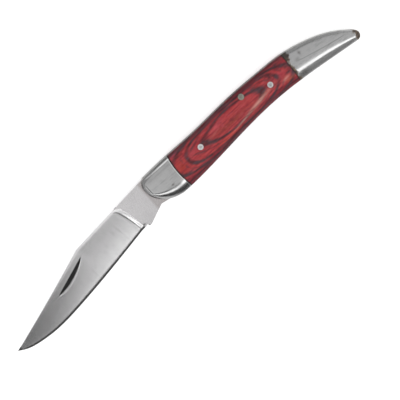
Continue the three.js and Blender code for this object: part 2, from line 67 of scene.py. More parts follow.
# Handle, in millimetres from the pivot: X to the tail, Y to the back, Z out of the side with the nail nick
NOSE_X = -6.4
SCALE_FRONT_X = 6.8
SCALE_REAR_X = 58.3
TAIL_X = 83.6
SLOPE_X = TAIL_X - 15
DROP_X = TAIL_X - 6
NOSE_POINT = 2.3
NOSE_RUN_BACK = 2.5
NOSE_RUN_BELLY = 11.5
TAIL_POINT = -5.45
TAIL_RUN_BACK = 1.2
TAIL_RUN_BELLY = 2.2
LINER_INNER = 1.15
LINER_OUTER = 1.95
SIDE_WALL = 0.3
CROWN = 2.9
CROWN_FALL = 2.1
TAIL_CROWN = 1.7
NOSE_ROUND = 1.8
TAIL_ROUND = 2.2
COVER_TAPER = 1.6
FLAT_LIMIT = 0.33
LEAST_HALF = 1e-6
DOME_FROM_X = 28
DOME_RIDGE = 0.19
DOME_FALL = 3.2
EASED_EDGE = 0.06

# Angles in degrees over which an edge stays sharp, and over which a node's edge is eased
COVER_SHARP = 35
PIN_SHARP = 40
BLADE_SHARP = 28
NODE_SHARP = 50

# Joints of the covers: bow of the front one, lean of the rear one, and how far along X they fade out
JOINT_BOW = 0.85
JOINT_BOW_Y = 0.3
JOINT_BELLY_BOW = 0.5
JOINT_SET_BACK = 0.65
JOINT_LEAN = 0.25
JOINT_HALF_WIDTH = 6
JOINT_FADE = 4
SEAM_DROP = 0.8

# How finely the covers' skins are divided, and the share that their inside is noted with
END_STEPS = 14
STATION_STEP = 0.6
STATION_CLEAR = 0.1
SIDE_STEPS = 16
FLAT_POINTS = 8
INSIDE_SHARE = 1.3

# Blade, in millimetres
BLADE_HALF = 1.1
BLADE_REACH = 74.6
TIP_DROP = -9.55
SPINE_OVER_PIVOT = 6.33
SPINE_SLOPE = 0.0912
CLIP_START = 37
CLIP_HOLLOW = 0.28
HEEL_DEPTH = -6.9
TIP_HALF = 0.35
TAPER_POWER = 1.2
EDGE_HALF = 0.06
TIP_FINE = 0.15
TIP_GROWTH = 0.06
BEVEL_HALF = 0.2
HOLLOW_POWER = 1.5
SPINE_LAND = 0.35
CHOIL_RADIUS = 0.55
NICK_X = -37.4
NICK_BELOW_SPINE = 2.5
NICK_LENGTH = 14.4
NICK_WIDTH = 1.95
NICK_SWELL = 0.75
NICK_DEPTH = 0.5
CUTTER_CLEAR = 0.5
PLUNGE_X = 14.4
PLUNGE_SWEEP = 2.5
PLUNGE_POWER = 1.5
PLUNGE_CURL = 1.4
PLUNGE_CURL_RUN = 0.15
PLUNGE_WIDTH_HEEL = 1.4
PLUNGE_WIDTH_SPINE = 2.2
FOLD = math.radians(168)
BEARING = 4.8
BEARING_GAP = 0.02
CAM_RISE = 0.5
KICK_X = 13.7
KICK_WIDTH = 0.9
RELIEF_POINT = (-4.95, -4.6)
SHUT_FLAT_X = 2.6
NOTCH_X = -3.7

# Shares of a narrow blade's length from edge to spine: the most that bevel, land and chamfer take
BEVEL_LIMIT = 0.25
LAND_LIMIT = 0.15
CHAMFER_LIMIT = 0.06
# Shares of a thin blade's half thickness: the most that the chamfer takes, and the most that the bevel has
THIN_CHAMFER = 0.3
THIN_BEVEL = 0.7

# How finely the blade's skin is divided, and how far its grind and its tang reach into each other
PLUNGE_STEPS = 12
GRIND_STEPS = 24
GROUND_STATIONS = 110
TIP_BANDS = 3
NARROWEST = 0.6
BOW_FADE = 4
NICK_STEPS = 30
NICK_END = 0.01
CAM_POINTS = 28
CHOIL_SEGMENTS = 32
CHOIL_CUTTER_HALF = 3
GRIND_INSIDE = (1, 0.04)
GRIND_SUNK = 0.006
TANG_OVERLAP = 0.02

# Order of the blade's metals
GRIND, EDGE, TANG, NICK, PLUNGE = range(5)

# Pins in the wooden scales: name, X, Y, radius, and the spring pin without a name
SCALE_PINS = (("front", 17.6, 1.4, 1.05), ("rear", 49.1, 1.4, 1.05))
SPRING_PIN = (39.0, 4.9, 1.1)
PIN_RISE = 0.03
PIN_CENTRE = 0.001
PIN_RINGS = 5
PIN_ROUND_STEPS = 4
PIN_SEGMENTS = 36

# Dark loops of the wood on each side: middle X and Y, half length, half width, rise along X,
# power that points the ends, thickness as a share
NICK_SIDE_LOOPS = (
    (32.7, 1.65, 13.3, 3.4, 0.01, 1.6, 0.12),
    (32.0, 1.3, 20.5, 4.5, 0.02, 4.2, 0.1),
    (31.5, 0.9, 27.0, 5.8, 0.0, 3.0, 0.08),
)
REVERSE_LOOPS = (
    (34.0, 1.5, 16.2, 2.7, 0.02, 1.6, 0.14),
    (31.0, 1.1, 22.6, 4.4, 0.0, 2.4, 0.1),
    (33.0, 0.8, 28.0, 5.6, 0.0, 3.0, 0.08),
)
# Dark patches: X, Y, half length, half width
NICK_SIDE_PATCHES = (
    (45.3, 2.6, 0.8, 1.4), (43.4, 4.3, 1.6, 0.5), (50.5, 3.7, 0.8, 1.3), (9.0, 4.1, 2.0, 0.5),
    (56.9, 2.9, 0.8, 1.0), (56.6, 0.6, 1.3, 0.5), (54.6, 5.3, 1.4, 0.5), (11.8, 0.5, 0.6, 1.5),
    (16.8, -2.8, 1.2, 0.5), (30.0, 5.1, 1.6, 0.45), (20.0, 0.9, 0.9, 0.6), (8.8, -2.6, 2.2, 0.45),
)
REVERSE_PATCHES = ((18.6, 1.2, 1.4, 1.0), (48.5, 2.4, 1.4, 1.2))
# Zones of another red on the nick's side: X, Y, half length, half width, rise, colour, strength
RED_ZONES = (
    (8.6, 0.6, 2.0, 2.0, 0.0, (0.32, 0.024, 0.014), 0.9),
    (27.0, -2.5, 5.5, 0.5, 0.03, (0.52, 0.042, 0.026), 1.0),
    (9.0, 5.3, 3.0, 0.45, 0.0, (0.36, 0.045, 0.075), 0.9),
    (26.5, 3.2, 3.0, 0.7, 0.1, (0.46, 0.062, 0.075), 0.8),
    (31.0, 0.8, 7.0, 0.9, 0.0, (0.24, 0.03, 0.022), 0.9),
    (53.5, 1.6, 2.0, 1.0, 0.0, (0.38, 0.03, 0.045), 0.8),
    (14.0, 1.8, 2.0, 1.2, 0.0, (0.38, 0.04, 0.05), 0.8),
    (38.5, 2.9, 3.5, 0.6, 0.0, (0.40, 0.045, 0.045), 0.7),
    (36.0, 6.0, 16.0, 0.35, 0.0, (0.28, 0.03, 0.05), 0.8),
    (56.0, -1.6, 1.6, 0.5, 0.0, (0.50, 0.10, 0.03), 0.8),
)
# Tan streaks on the nick's side: X, Y, half length, half width, strength, and the rise of them all
TAN_STREAKS = (
    (42.5, -0.3, 5.5, 0.6, 1.1), (34.0, -1.7, 4.5, 0.3, 0.6), (54.6, -0.5, 1.4, 0.5, 0.9),
    (24.0, 1.6, 2.2, 0.3, 0.25),
)
TAN_RISE = 0.14
# Stained ring round the pins in the wood, and the dark lines at the wood's two ends, in millimetres
PIN_STAIN_OUTER = 1.5
PIN_STAIN_INNER = 1.15
FRONT_LINE = (0.65, 0.15)
REAR_LINE = 0.5

# Painted shade along the crease where the rear bolster's slope begins: X and Y of its start, slope along X
# and how that eases
FACET_LINE = (61.6, 1.2, -0.29, 0.0033)
# Darker spots of the bolsters on the nick's side: X, Y, half length, half width, strength
DARK_SPOTS = (
    (60.7, -3.3, 1.7, 1.1, 0.45), (63.5, 3.0, 0.45, 0.7, 0.5), (61.5, 1.7, 1.0, 0.7, 0.3),
    (2.3, -1.9, 0.5, 0.35, 0.6),
)
# Painted highlight in the front bolster's corner at the joint and the belly: X, Y, half length, half width
JOINT_GLINT = (5.9, -3.5, 1.1, 0.8)
# Dark corners of the tang, at the choil and the kick's tip: X, Y, half length, half width
TANG_SHADOWS = ((-14.2, -6.0, 0.7, 0.35), (-12.9, -7.3, 0.45, 0.3))
# Bright line across the tang, painted shade beside the bolster, and end of the tip's shade: X
TANG_LINE_X = -8.6
BOLSTER_SHADE_START_X = -7.4
BOLSTER_SHADE_FULL_X = -6.3
TIP_SHADE_X = -72.4
# Place of the painted highlight along the lip under the nail nick, as a share of the nick's width
LIP_HIGHLIGHT_PLACE = 1.03

# Colours that are not in the finish settings
FLANK_SHADE_GREY = (0.045, 0.045, 0.042)
SPOT_DARK = (0.06, 0.05, 0.045)
TANG_SHADE_BROWN = (0.16, 0.12, 0.10)
OLD_RUST = (0.022, 0.011, 0.007)
FRESH_RUST = (0.13, 0.085, 0.045)
BACK_RUST = (0.014, 0.008, 0.006)
WOOD_END = (0.012, 0.005, 0.004)

# Photograph: its width, its scale, and the direction in it from the blade to the tail
PHOTO_PIXELS = 400
PIXELS_PER_MM = 2.9608
KNIFE_DIRECTION = (0.74543, 0.66658)
# Middle of the view in millimetres from the pivot, and the height over it at which the scale holds
VIEW_MIDDLE = (5.59, -12.449)
SCALE_HEIGHT = 2.5
SENSOR = 36
CLIP_NEAR = 0.01
CLIP_FAR = 20

# Floor, lamp and cards, in metres; the cards are placed from under the pivot
FLOOR_HALF = 3.0
FLOOR_LEVEL = -2e-5
FLOOR_GLOW = 0.45
LAMP_SIZE = (0.5, 0.4)
LAMP_HEIGHT = 0.8
CARD_FLOOR = 0.0003
TIP_CARD_X = -0.062
NOSE_CARD_X = -0.012
TAIL_CARD_X = 0.045
BACK_Y = 0.15
FAR_BACK_Y = 0.35
BACK_FLOOR_Y = 0.0078
BELLY_FLOOR_Y = -0.034
SPINE_CARD_Y = -0.060
TAIL_STREAK_Y = -0.10
BELLY_STREAK_Y = -0.145
STREAK_Y = -0.155
TAIL_DARK_Y = -0.215
STREAK_END_Y = -0.376
PLUNGE_CARD_X = (-0.36, -0.17)
PLUNGE_CARD_Y = (-0.1, 0.1)
PLUNGE_CARD_DROP = 0.01
BACK_CARD_HEIGHT = 0.04


# Numbers

def curve_through(points):
    """Natural cubic curve y(x) through a few points in order of x."""
    xs, ys = (np.array(v, float) for v in zip(*points))
    n, h = len(xs), np.diff(xs)
    system, turn = np.eye(n), np.zeros(n)
    for i in range(1, n - 1):
        system[i, i - 1:i + 2] = h[i - 1], 2 * (h[i - 1] + h[i]), h[i]
        turn[i] = 6 * ((ys[i + 1] - ys[i]) / h[i] - (ys[i] - ys[i - 1]) / h[i - 1])
    bend = np.linalg.solve(system, turn)

    def curve(x):
        i = np.clip(np.searchsorted(xs, x) - 1, 0, n - 2)
        t = (x - xs[i]) / h[i]
        sag = ((1 - t) ** 3 - (1 - t)) * bend[i] + (t ** 3 - t) * bend[i + 1]
        return ys[i] + (ys[i + 1] - ys[i]) * t + sag * h[i] * h[i] / 6

    return curve


def lerp(a, b, t):
    return a + (b - a) * t


def clamp(v, low=0.0, high=1.0):
    return min(max(v, low), high)


def round_off(distance, run):
    """Quarter ellipse from 0 at no distance to 1 at the end of the run."""
    left = clamp(1 - distance / run)
    return math.sqrt(1 - left * left)


back_curve = curve_through([
    (NOSE_X, 5.9), (0, 6.3), (19, 6.38), (38, 7.08), (49, 6.8), (SCALE_REAR_X, 6.28),
    (SLOPE_X, 3.95), (DROP_X, -0.05), (TAIL_X, -4.45),
])
belly_curve = curve_through([
    (NOSE_X, -6.65), (SCALE_FRONT_X, -6.65), (49, -4.12), (SLOPE_X, -5.82), (TAIL_X, -7.75),
])
edge_depth = curve_through([
    (-BLADE_REACH, TIP_DROP), (-72.4, -10.85), (-67, -12.4), (-60, -13.02), (-49.9, -12.38),
    (-PLUNGE_X, HEEL_DEPTH),
])


def handle_edges(x):
    """Back and belly of the handle at a station, run into the rounded nose and tail."""
    def ends(run_nose, run_tail, y):
        at_nose = lerp(NOSE_POINT, y, round_off(x - NOSE_X, run_nose))
        return lerp(TAIL_POINT, at_nose, round_off(TAIL_X - x, run_tail))

    back = ends(NOSE_RUN_BACK, TAIL_RUN_BACK, back_curve(x))
    return back, ends(NOSE_RUN_BELLY, TAIL_RUN_BELLY, belly_curve(x))


def cover_crown(x):
    """Height of the cover pieces over the liner: lower toward the tail, rounded off at both ends."""
    taper = clamp((x - SCALE_REAR_X) / (TAIL_X - SCALE_REAR_X)) ** COVER_TAPER
    rounding = round_off(x - NOSE_X, NOSE_ROUND) * round_off(TAIL_X - x, TAIL_ROUND)
    return lerp(SIDE_WALL, lerp(CROWN, TAIL_CROWN, taper), rounding)


def section_rise(x, off, half, flat):
    """Height at a distance off the middle, from the side wall (0) to the crown (1); the belly side
    grows rounder toward the tail."""
    if half < LEAST_HALF:
        return 0.0
    rise = 1 - clamp((abs(off) - flat) / (half - flat)) ** CROWN_FALL
    ridge = DOME_RIDGE * half
    if off > ridge:
        return rise
    rounded = 1 - clamp((ridge - off) / (ridge + half)) ** DOME_FALL
    t = clamp((x - DOME_FROM_X) / (SCALE_REAR_X - DOME_FROM_X))
    return lerp(rise, rounded, t * t * (3 - 2 * t))


def joint_shift(x, y):
    """How far the covers' joints stray from straight along X: the front one bows, the rear one leans."""
    off = y - JOINT_BOW_Y
    bow = (off / JOINT_HALF_WIDTH) ** 2 * (1.0 if off > 0 else JOINT_BELLY_BOW)
    front = JOINT_BOW * bow - JOINT_BOW * JOINT_SET_BACK
    rear = JOINT_LEAN * y / JOINT_HALF_WIDTH
    near_front = clamp(1 - abs(x - SCALE_FRONT_X) / JOINT_FADE) if x > NOSE_X + NOSE_RUN_BACK else 0
    near_rear = clamp(1 - abs(x - SCALE_REAR_X) / JOINT_FADE)
    return front * near_front + rear * near_rear


def cover_surface(x, y, flat_half):
    """Height of the cover's outside over the knife's middle plane at (x, y)."""
    back, belly = handle_edges(x)
    half = (back - belly) / 2
    rise = section_rise(x, y - (back + belly) / 2, half, min(flat_half, half * FLAT_LIMIT))
    return LINER_OUTER + lerp(SIDE_WALL, cover_crown(x), rise)


# Meshes

def in_frame(points):
    """Millimetres from the pivot to metres in the frame."""
    return [tuple(PIVOT + Vector(p) * MM) for p in points]


def new_object(name, data):
    obj = bpy.data.objects.new(name, data)
    bpy.context.scene.collection.objects.link(obj)
    return obj


def make_object(name, points, faces, indices=None):
    mesh = bpy.data.meshes.new(name)
    mesh.from_pydata(in_frame(points), [], faces)
    if indices is not None:
        mesh.polygons.foreach_set("material_index", indices)
    mesh.validate()
    return new_object(name, mesh)


def lofted(rings, band_index=None):
    """Points, faces and material numbers of a closed skin over rings of equal length."""
    count = len(rings[0])
    points = [p for ring in rings for p in ring]
    faces, indices = [], []
    for r in range(len(rings) - 1):
        for i in range(count):
            a, b = r * count + i, r * count + (i + 1) % count
            faces.append((a, b, b + count, a + count))
            indices.append(band_index(r, i) if band_index else 0)
    last = (len(rings) - 1) * count
    for i in range(count // 2 - 1):
        a, b, c, d = i, i + 1, count - 2 - i, count - 1 - i
        faces.append((a, d, c, b))
        faces.append((last + a, last + b, last + c, last + d))
        indices += [0, 0]
    return points, faces, indices


def note(obj, name, values):
    """Keeps a number for each point, for the materials."""
    attribute = obj.data.attributes.new(name, "FLOAT", "POINT")
    attribute.data.foreach_set("value", np.array(values, np.float32))


def outward(obj):
    """Turns the faces outward and drops doubled points."""
    bm = bmesh.new()
    bm.from_mesh(obj.data)
    bmesh.ops.remove_doubles(bm, verts=bm.verts, dist=WELD)
    bmesh.ops.dissolve_degenerate(bm, edges=bm.edges, dist=SHORT_EDGE)
    bmesh.ops.recalc_face_normals(bm, faces=bm.faces)
    bm.to_mesh(obj.data)
    bm.free()
    return obj


def boolean(obj, cutter, operation):
    """Joins or cuts obj with cutter, and takes the cutter away."""
    modifier = obj.modifiers.new(operation, "BOOLEAN")
    modifier.object = cutter
    modifier.operation = operation
    modifier.solver = "EXACT"
    modifier.material_mode = "TRANSFER"
    depsgraph = bpy.context.evaluated_depsgraph_get()
    result = bpy.data.meshes.new_from_object(obj.evaluated_get(depsgraph))
    obj.modifiers.clear()
    obj.data = result
    bpy.data.objects.remove(cutter)
    if len(result.polygons) == 0:
        raise RuntimeError(f"{obj.name}: the {operation.lower()} left nothing")
    return obj


def smooth(obj, degrees):
    obj.data.shade_smooth()
    obj.data.set_sharp_from_angle(angle=math.radians(degrees))


def finish_node(node, material):
    """Gives one of the frame's own nodes a better material."""
    obj = frame["nodes"][node]
    obj.data.materials.clear()
    obj.data.materials.append(material)
    return obj


def place(obj, body, replaced=()):
    """Says what a piece rides on, and hides the nodes that it stands for."""
    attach(obj, body)
    if replaced:
        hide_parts(*replaced)
    return obj


# Materials

class Graph:
    """A node tree, built up from short calls."""

    def __init__(self, tree):
        self.tree = tree

    def new(self, kind, **settings):
        node = self.tree.nodes.new(kind)
        for key, value in settings.items():
            setattr(node, key, value)
        return node

    def feed(self, socket, value):
        if isinstance(value, bpy.types.NodeSocket):
            self.tree.links.new(value, socket)
        else:
            socket.default_value = value

    def math(self, operation, *values):
        node = self.new("ShaderNodeMath", operation=operation)
        for socket, value in zip(node.inputs, values):
            self.feed(socket, value)
        return node.outputs[0]

    def chain(self, operation, values):
        """One operation over two or more values in turn."""
        return reduce(lambda a, b: self.math(operation, a, b), values)

    def less(self, a, b):
        return self.math("SUBTRACT", a, b)

    def add(self, *values):
        return self.chain("ADD", values)

    def times(self, *values):
        return self.chain("MULTIPLY", values)

    def most(self, *values):
        return self.chain("MAXIMUM", values)

    def least(self, *values):
        return self.chain("MINIMUM", values)


class Nodes(Graph):
    """A material's node tree, with its shader and the point in millimetres from the pivot."""

    def __init__(self, name):
        self.material = bpy.data.materials.new(name)
        self.material.use_nodes = True
        super().__init__(self.material.node_tree)
        self.shader = self.tree.nodes["Principled BSDF"]
        from_pivot = self.vector("SUBTRACT", self.new("ShaderNodeTexCoord").outputs["Object"], PIVOT)
        self.point = self.vector("MULTIPLY", from_pivot, (1 / MM, 1 / MM, 1 / MM))
        split = self.new("ShaderNodeSeparateXYZ")
        self.feed(split.inputs[0], self.point)
        self.x, self.y, self.z = split.outputs

    def vector(self, operation, a, b):
        node = self.new("ShaderNodeVectorMath", operation=operation)
        self.feed(node.inputs[0], a)
        self.feed(node.inputs[1], b)
        return node.outputs[0]

    def step(self, value, off, full):
        """0 at off and beyond, 1 at full and beyond, smooth between them; either may be the higher."""
        node = self.new("ShaderNodeMapRange", interpolation_type="SMOOTHSTEP")
        self.feed(node.inputs["Value"], value)
        node.inputs["From Min"].default_value = min(off, full)
        node.inputs["From Max"].default_value = max(off, full)
        node.inputs["To Min"].default_value = 0.0 if off < full else 1.0
        node.inputs["To Max"].default_value = 1.0 if off < full else 0.0
        return node.outputs[0]

    def noise(self, per_mm, detail, roughness=0.5, turn=0.0, shift=(0, 0, 0)):
        """Noise of so many lumps to a millimetre along each axis, turned about Z and shifted."""
        turned = self.new("ShaderNodeMapping", vector_type="POINT")
        self.feed(turned.inputs["Vector"], self.point)
        turned.inputs["Rotation"].default_value = (0, 0, turn)
        scaled = self.vector("MULTIPLY", turned.outputs[0], per_mm)
        node = self.new("ShaderNodeTexNoise", noise_dimensions="3D")
        self.feed(node.inputs["Vector"], self.vector("ADD", scaled, shift))
        node.inputs["Scale"].default_value = 1.0
        node.inputs["Detail"].default_value = detail
        node.inputs["Roughness"].default_value = roughness
        return node.outputs[0]

    def noted(self, name):
        """What a cover's points note: share, 0 on its flat, 1 at the back wall and -1 at the belly wall,
        or along, its station."""
        return self.new("ShaderNodeAttribute", attribute_name=name).outputs["Fac"]

    def band(self, value, middle, half, soft):
        """1 within half of the middle, fading to 0 over the soft width."""
        return self.step(self.math("ABSOLUTE", self.less(value, middle)), half + soft, half)

    def off_line(self, x, y, rise):
        """Distances along X and Y from (x, y), the second from a line that climbs along X."""
        dx = self.less(self.x, x)
        return dx, self.less(self.y, self.add(self.times(dx, rise), y))

    def loop(self, x, y, half_x, half_y, rise, point, warp):
        """Place against an oval's outline (1); its middle line climbs along X, and its ends are pointed."""
        dx, dy = self.off_line(x, y, rise)
        along = self.math("POWER", self.math("ABSOLUTE", self.times(dx, 1 / half_x)), point)
        across = self.math("POWER", self.times(dy, 1 / half_y), 2.0)
        return self.add(self.math("SQRT", self.add(along, across)), warp)

    def blot(self, x, y, long, wide, rise=0.0):
        """Soft oval patch, 1 in its middle."""
        dx, dy = self.off_line(x, y, rise)
        along = self.math("POWER", self.times(dx, 1 / long), 2.0)
        across = self.math("POWER", self.times(dy, 1 / wide), 2.0)
        return self.math("POWER", math.e, self.times(self.add(along, across), -1.0))

    def along_x(self):
        """Direction of the piece's own X, for highlights that spread along it."""
        node = self.new("ShaderNodeVectorTransform", vector_type="VECTOR", convert_from="OBJECT",
                        convert_to="WORLD")
        node.inputs[0].default_value = (1, 0, 0)
        return node.outputs[0]

    def pin_distance(self):
        """Distance in millimetres from the nearest axis of the pins in the wood."""
        distances = []
        for x, y in [pin[1:3] for pin in SCALE_PINS] + [SPRING_PIN[:2]]:
            dx, dy = self.less(self.x, x), self.less(self.y, y)
            distances.append(self.math("SQRT", self.add(self.times(dx, dx), self.times(dy, dy))))
        return self.least(*distances)

    def ramp(self, value, stops):
        """Colours at their places along the value, with eased steps between them."""
        node = self.new("ShaderNodeValToRGB")
        self.feed(node.inputs[0], value)
        node.color_ramp.interpolation = "EASE"
        elements = node.color_ramp.elements
        while len(elements) > 1:
            elements.remove(elements[-1])
        elements[0].position, elements[0].color = stops[0][0], (*stops[0][1], 1)
        for position, colour in stops[1:]:
            elements.new(position).color = (*colour, 1)
        return node.outputs[0]

    def mix(self, share, a, b, blend="MIX"):
        node = self.new("ShaderNodeMix", data_type="RGBA", blend_type=blend)
        self.feed(node.inputs[0], share)
        for socket, value in ((node.inputs[6], a), (node.inputs[7], b)):
            self.feed(socket, value if isinstance(value, bpy.types.NodeSocket) else (*value, 1))
        return node.outputs[2]

    def toned(self, colour, tone):
        """A colour made darker or lighter by a tone."""
        return self.mix(1.0, colour, self.mix(tone, grey(0.0), grey(1.0)), "MULTIPLY")

    def bump(self, height, distance_mm, strength):
        node = self.new("ShaderNodeBump")
        node.inputs["Strength"].default_value = strength
        node.inputs["Distance"].default_value = distance_mm * MM
        self.feed(node.inputs["Height"], height)
        self.feed(self.shader.inputs["Normal"], node.outputs[0])

    def set(self, **values):
        for key, value in values.items():
            self.feed(self.shader.inputs[key.replace("_", " ")], value)
        return self.material


def grey(share):
    return (share, share, share)


def nick_lip_highlight(n):
    """Painted highlight along the lip under the nail nick, on its own side of the blade."""
    along = n.times(n.less(NICK_X, n.x), 1 / NICK_LENGTH)
    arch = n.most(n.times(along, 4.0, n.less(1.0, along)), 0.0)
    start_y, end_y = (spine_height(x) - NICK_BELOW_SPINE for x in (NICK_X, NICK_X - NICK_LENGTH))
    upper_y = n.add(n.times(along, end_y - start_y), start_y)
    lower_y = n.less(upper_y, n.times(n.math("POWER", arch, NICK_SWELL), NICK_WIDTH * LIP_HIGHLIGHT_PLACE))
    lip = n.times(n.band(n.less(n.y, lower_y), -0.12, 0.08, 0.14), n.step(arch, 0.0, 0.1))
    return n.times(lip, n.step(n.z, 0.0, 0.1))


def steel_blade(look):
    """Satin hollow grind, brushed across the blade and darker at its very tip."""
    n = Nodes("blade_satin_steel")
    lean = -0.12
    fine = n.noise((7.0, 0.22, 0.22), 4, 0.65, turn=lean)
    broad = n.noise((0.9, 0.06, 0.1), 3, 0.6, turn=lean)
    cloud = n.noise((0.07, 0.12, 0.1), 3)
    blotch = n.noise((0.55, 0.45, 0.5), 4, 0.65, shift=(4, 2, 0))
    tone = n.add(n.times(broad, 0.34), n.times(cloud, 0.2), n.times(fine, 0.2), n.times(blotch, 0.38), 0.46)
    tone = n.times(tone, n.add(n.times(n.step(n.x, -BLADE_REACH, TIP_SHADE_X), 0.88), 0.12))
    # Painted highlight along the lip under the nail nick
    colour = n.mix(n.times(nick_lip_highlight(n), 0.75), n.toned(look.blade, tone), grey(0.95))
    n.bump(n.add(fine, n.times(broad, 0.8)), 0.012, 0.35)
    return n.set(Base_Color=colour, Metallic=1.0, Anisotropic=0.5, Tangent=n.along_x(),
                 Roughness=n.add(n.times(fine, 0.1), look.blade_roughness - 0.05))


def shade_dark_steel(name, per_mm, shades, metallic, roughness):
    """Steel painted dark as shade, of one noise, with shades of grey at their places along it."""
    n = Nodes(name)
    fine = n.noise(per_mm, 3)
    n.bump(fine, 0.01, 0.4)
    colour = n.ramp(fine, [(position, grey(shade)) for position, shade in shades])
    return n.set(Base_Color=colour, Metallic=metallic, Roughness=roughness)


def steel_edge():
    """Honed bevel along the edge, duller than the grind and painted dark as shade."""
    return shade_dark_steel("edge_bevel_shade_steel", (6.0, 1.2, 1.0), ((0.25, 0.03), (0.75, 0.09)), 0.9, 0.5)


def steel_plunge(look):
    """Radius where the grind runs out, rough from the rim of the wheel, with a lighter colour that is painted
    highlight.
    """
    n = Nodes("plunge_steel")
    fine = n.noise((3.0, 5.0, 2.0), 3)
    n.bump(fine, 0.01, 0.3)
    colour = n.mix(fine, [0.9 * c for c in look.plunge], look.plunge)
    return n.set(Base_Color=colour, Metallic=1.0, Roughness=0.42)


def steel_tang(look):
    """Tang, polished with a light grain, with a bright line and brown painted shade beside the bolster."""
    n = Nodes("tang_steel")
    fine = n.noise((5.0, 0.5, 0.5), 4, 0.6, turn=0.25)
    cloud = n.noise((0.25, 0.25, 0.2), 3)
    line = n.band(n.x, TANG_LINE_X, 0.15, 0.5)
    tone = n.add(n.times(fine, 0.18), n.times(cloud, 0.2), 0.8, n.times(line, 0.35))
    # Brown painted shade where the bolster's front wall shades the tang
    bolster_shade = n.times(n.step(n.x, BOLSTER_SHADE_START_X, BOLSTER_SHADE_FULL_X), n.add(n.times(cloud, 0.5), 0.1))
    colour = n.mix(bolster_shade, n.toned(look.tang, tone), TANG_SHADE_BROWN)
    for shadow in TANG_SHADOWS:
        colour = n.mix(n.times(n.blot(*shadow), 0.85), colour, grey(0.03))
    n.bump(fine, 0.01, 0.3)
    return n.set(Base_Color=colour, Metallic=1.0, Roughness=n.add(n.times(fine, 0.12), 0.2))


def steel_nick():
    """Inside of the nail nick, painted dark as shade in the recess."""
    return shade_dark_steel("nick_steel", (2.0, 6.0, 1.0), ((0.3, 0.012), (0.8, 0.04)), 0.8, 0.45)


def steel_ground(name, colour):
    """Spring and liners: fine lines along the knife from the grinding belt, and painted shade between the
    bolsters, along the wood.
    """
    n = Nodes(name)
    lines = n.noise((0.35, 5.0, 9.0), 4, 0.7)
    cloud = n.noise((0.2, 0.5, 0.5), 3)
    # Painted shade on the strip along the wood, between the bolsters
    between = n.times(n.step(n.x, SCALE_FRONT_X - 1, SCALE_FRONT_X),
                      n.step(n.x, SCALE_REAR_X + 1, SCALE_REAR_X))
    tone = n.add(n.times(lines, 0.3), n.times(cloud, 0.3), 0.62)
    tone = n.times(tone, n.less(1.0, n.times(between, 0.3)))
    n.bump(lines, 0.02, 0.4)
    return n.set(Base_Color=n.toned(colour, tone), Metallic=1.0, Roughness=n.add(n.times(lines, 0.2), 0.26))


def bolster_glint(n):
    """Painted highlights of the front bolster: bright lines along its back rim, at its joint and in its lower
    corner.
    """
    rim = n.times(n.step(n.x, -4.5, -2.0), n.step(n.x, 20.0, 10.0), n.band(n.noted("share"), 0.8, 0.02, 0.06))
    joint = n.times(n.band(n.noted("along"), SCALE_FRONT_X - 0.25, 0.03, 0.12), 0.6)
    return n.most(joint, rim, n.times(n.blot(*JOINT_GLINT), 0.8))


def bolster_crease_shade(n):
    """Painted shade along the line where the rear bolster's slope begins, faded out at its two ends."""
    start_x, start_y, fall, ease = FACET_LINE
    off = n.less(n.x, start_x)
    crease_y = n.add(n.times(off, n.add(n.times(off, ease), fall)), start_y)
    crease = n.band(n.less(n.y, crease_y), 0.0, 0.05, 0.16)
    return n.times(n.step(n.x, 60.5, 62.5), n.step(n.x, 80.5, 78.0), crease)


def bolster_rust(n, patch, nick_side):
    """Rust at the tail and, on the nick's side, at the rear joint: where it is, and its colour."""
    tail = n.step(n.add(n.x, n.times(patch, 3.0)), TAIL_X - 0.7, TAIL_X + 0.3)
    at_back = n.step(n.y, 3.0, 4.8)
    reach = n.less(n.x, n.add(n.times(at_back, 1.4), n.times(n.less(patch, 0.5), 4.0)))
    joint = n.times(n.step(n.x, SCALE_REAR_X - 8, SCALE_REAR_X - 3), nick_side,
                    n.step(reach, SCALE_REAR_X + 1.0, SCALE_REAR_X + 0.2))
    old = n.noise((2.2, 2.2, 2.2), 3, shift=(1, 8, 0))
    brown = n.mix(n.step(old, 0.4, 0.62), OLD_RUST, FRESH_RUST)
    return n.most(tail, joint), n.mix(n.times(at_back, 0.8), brown, BACK_RUST)


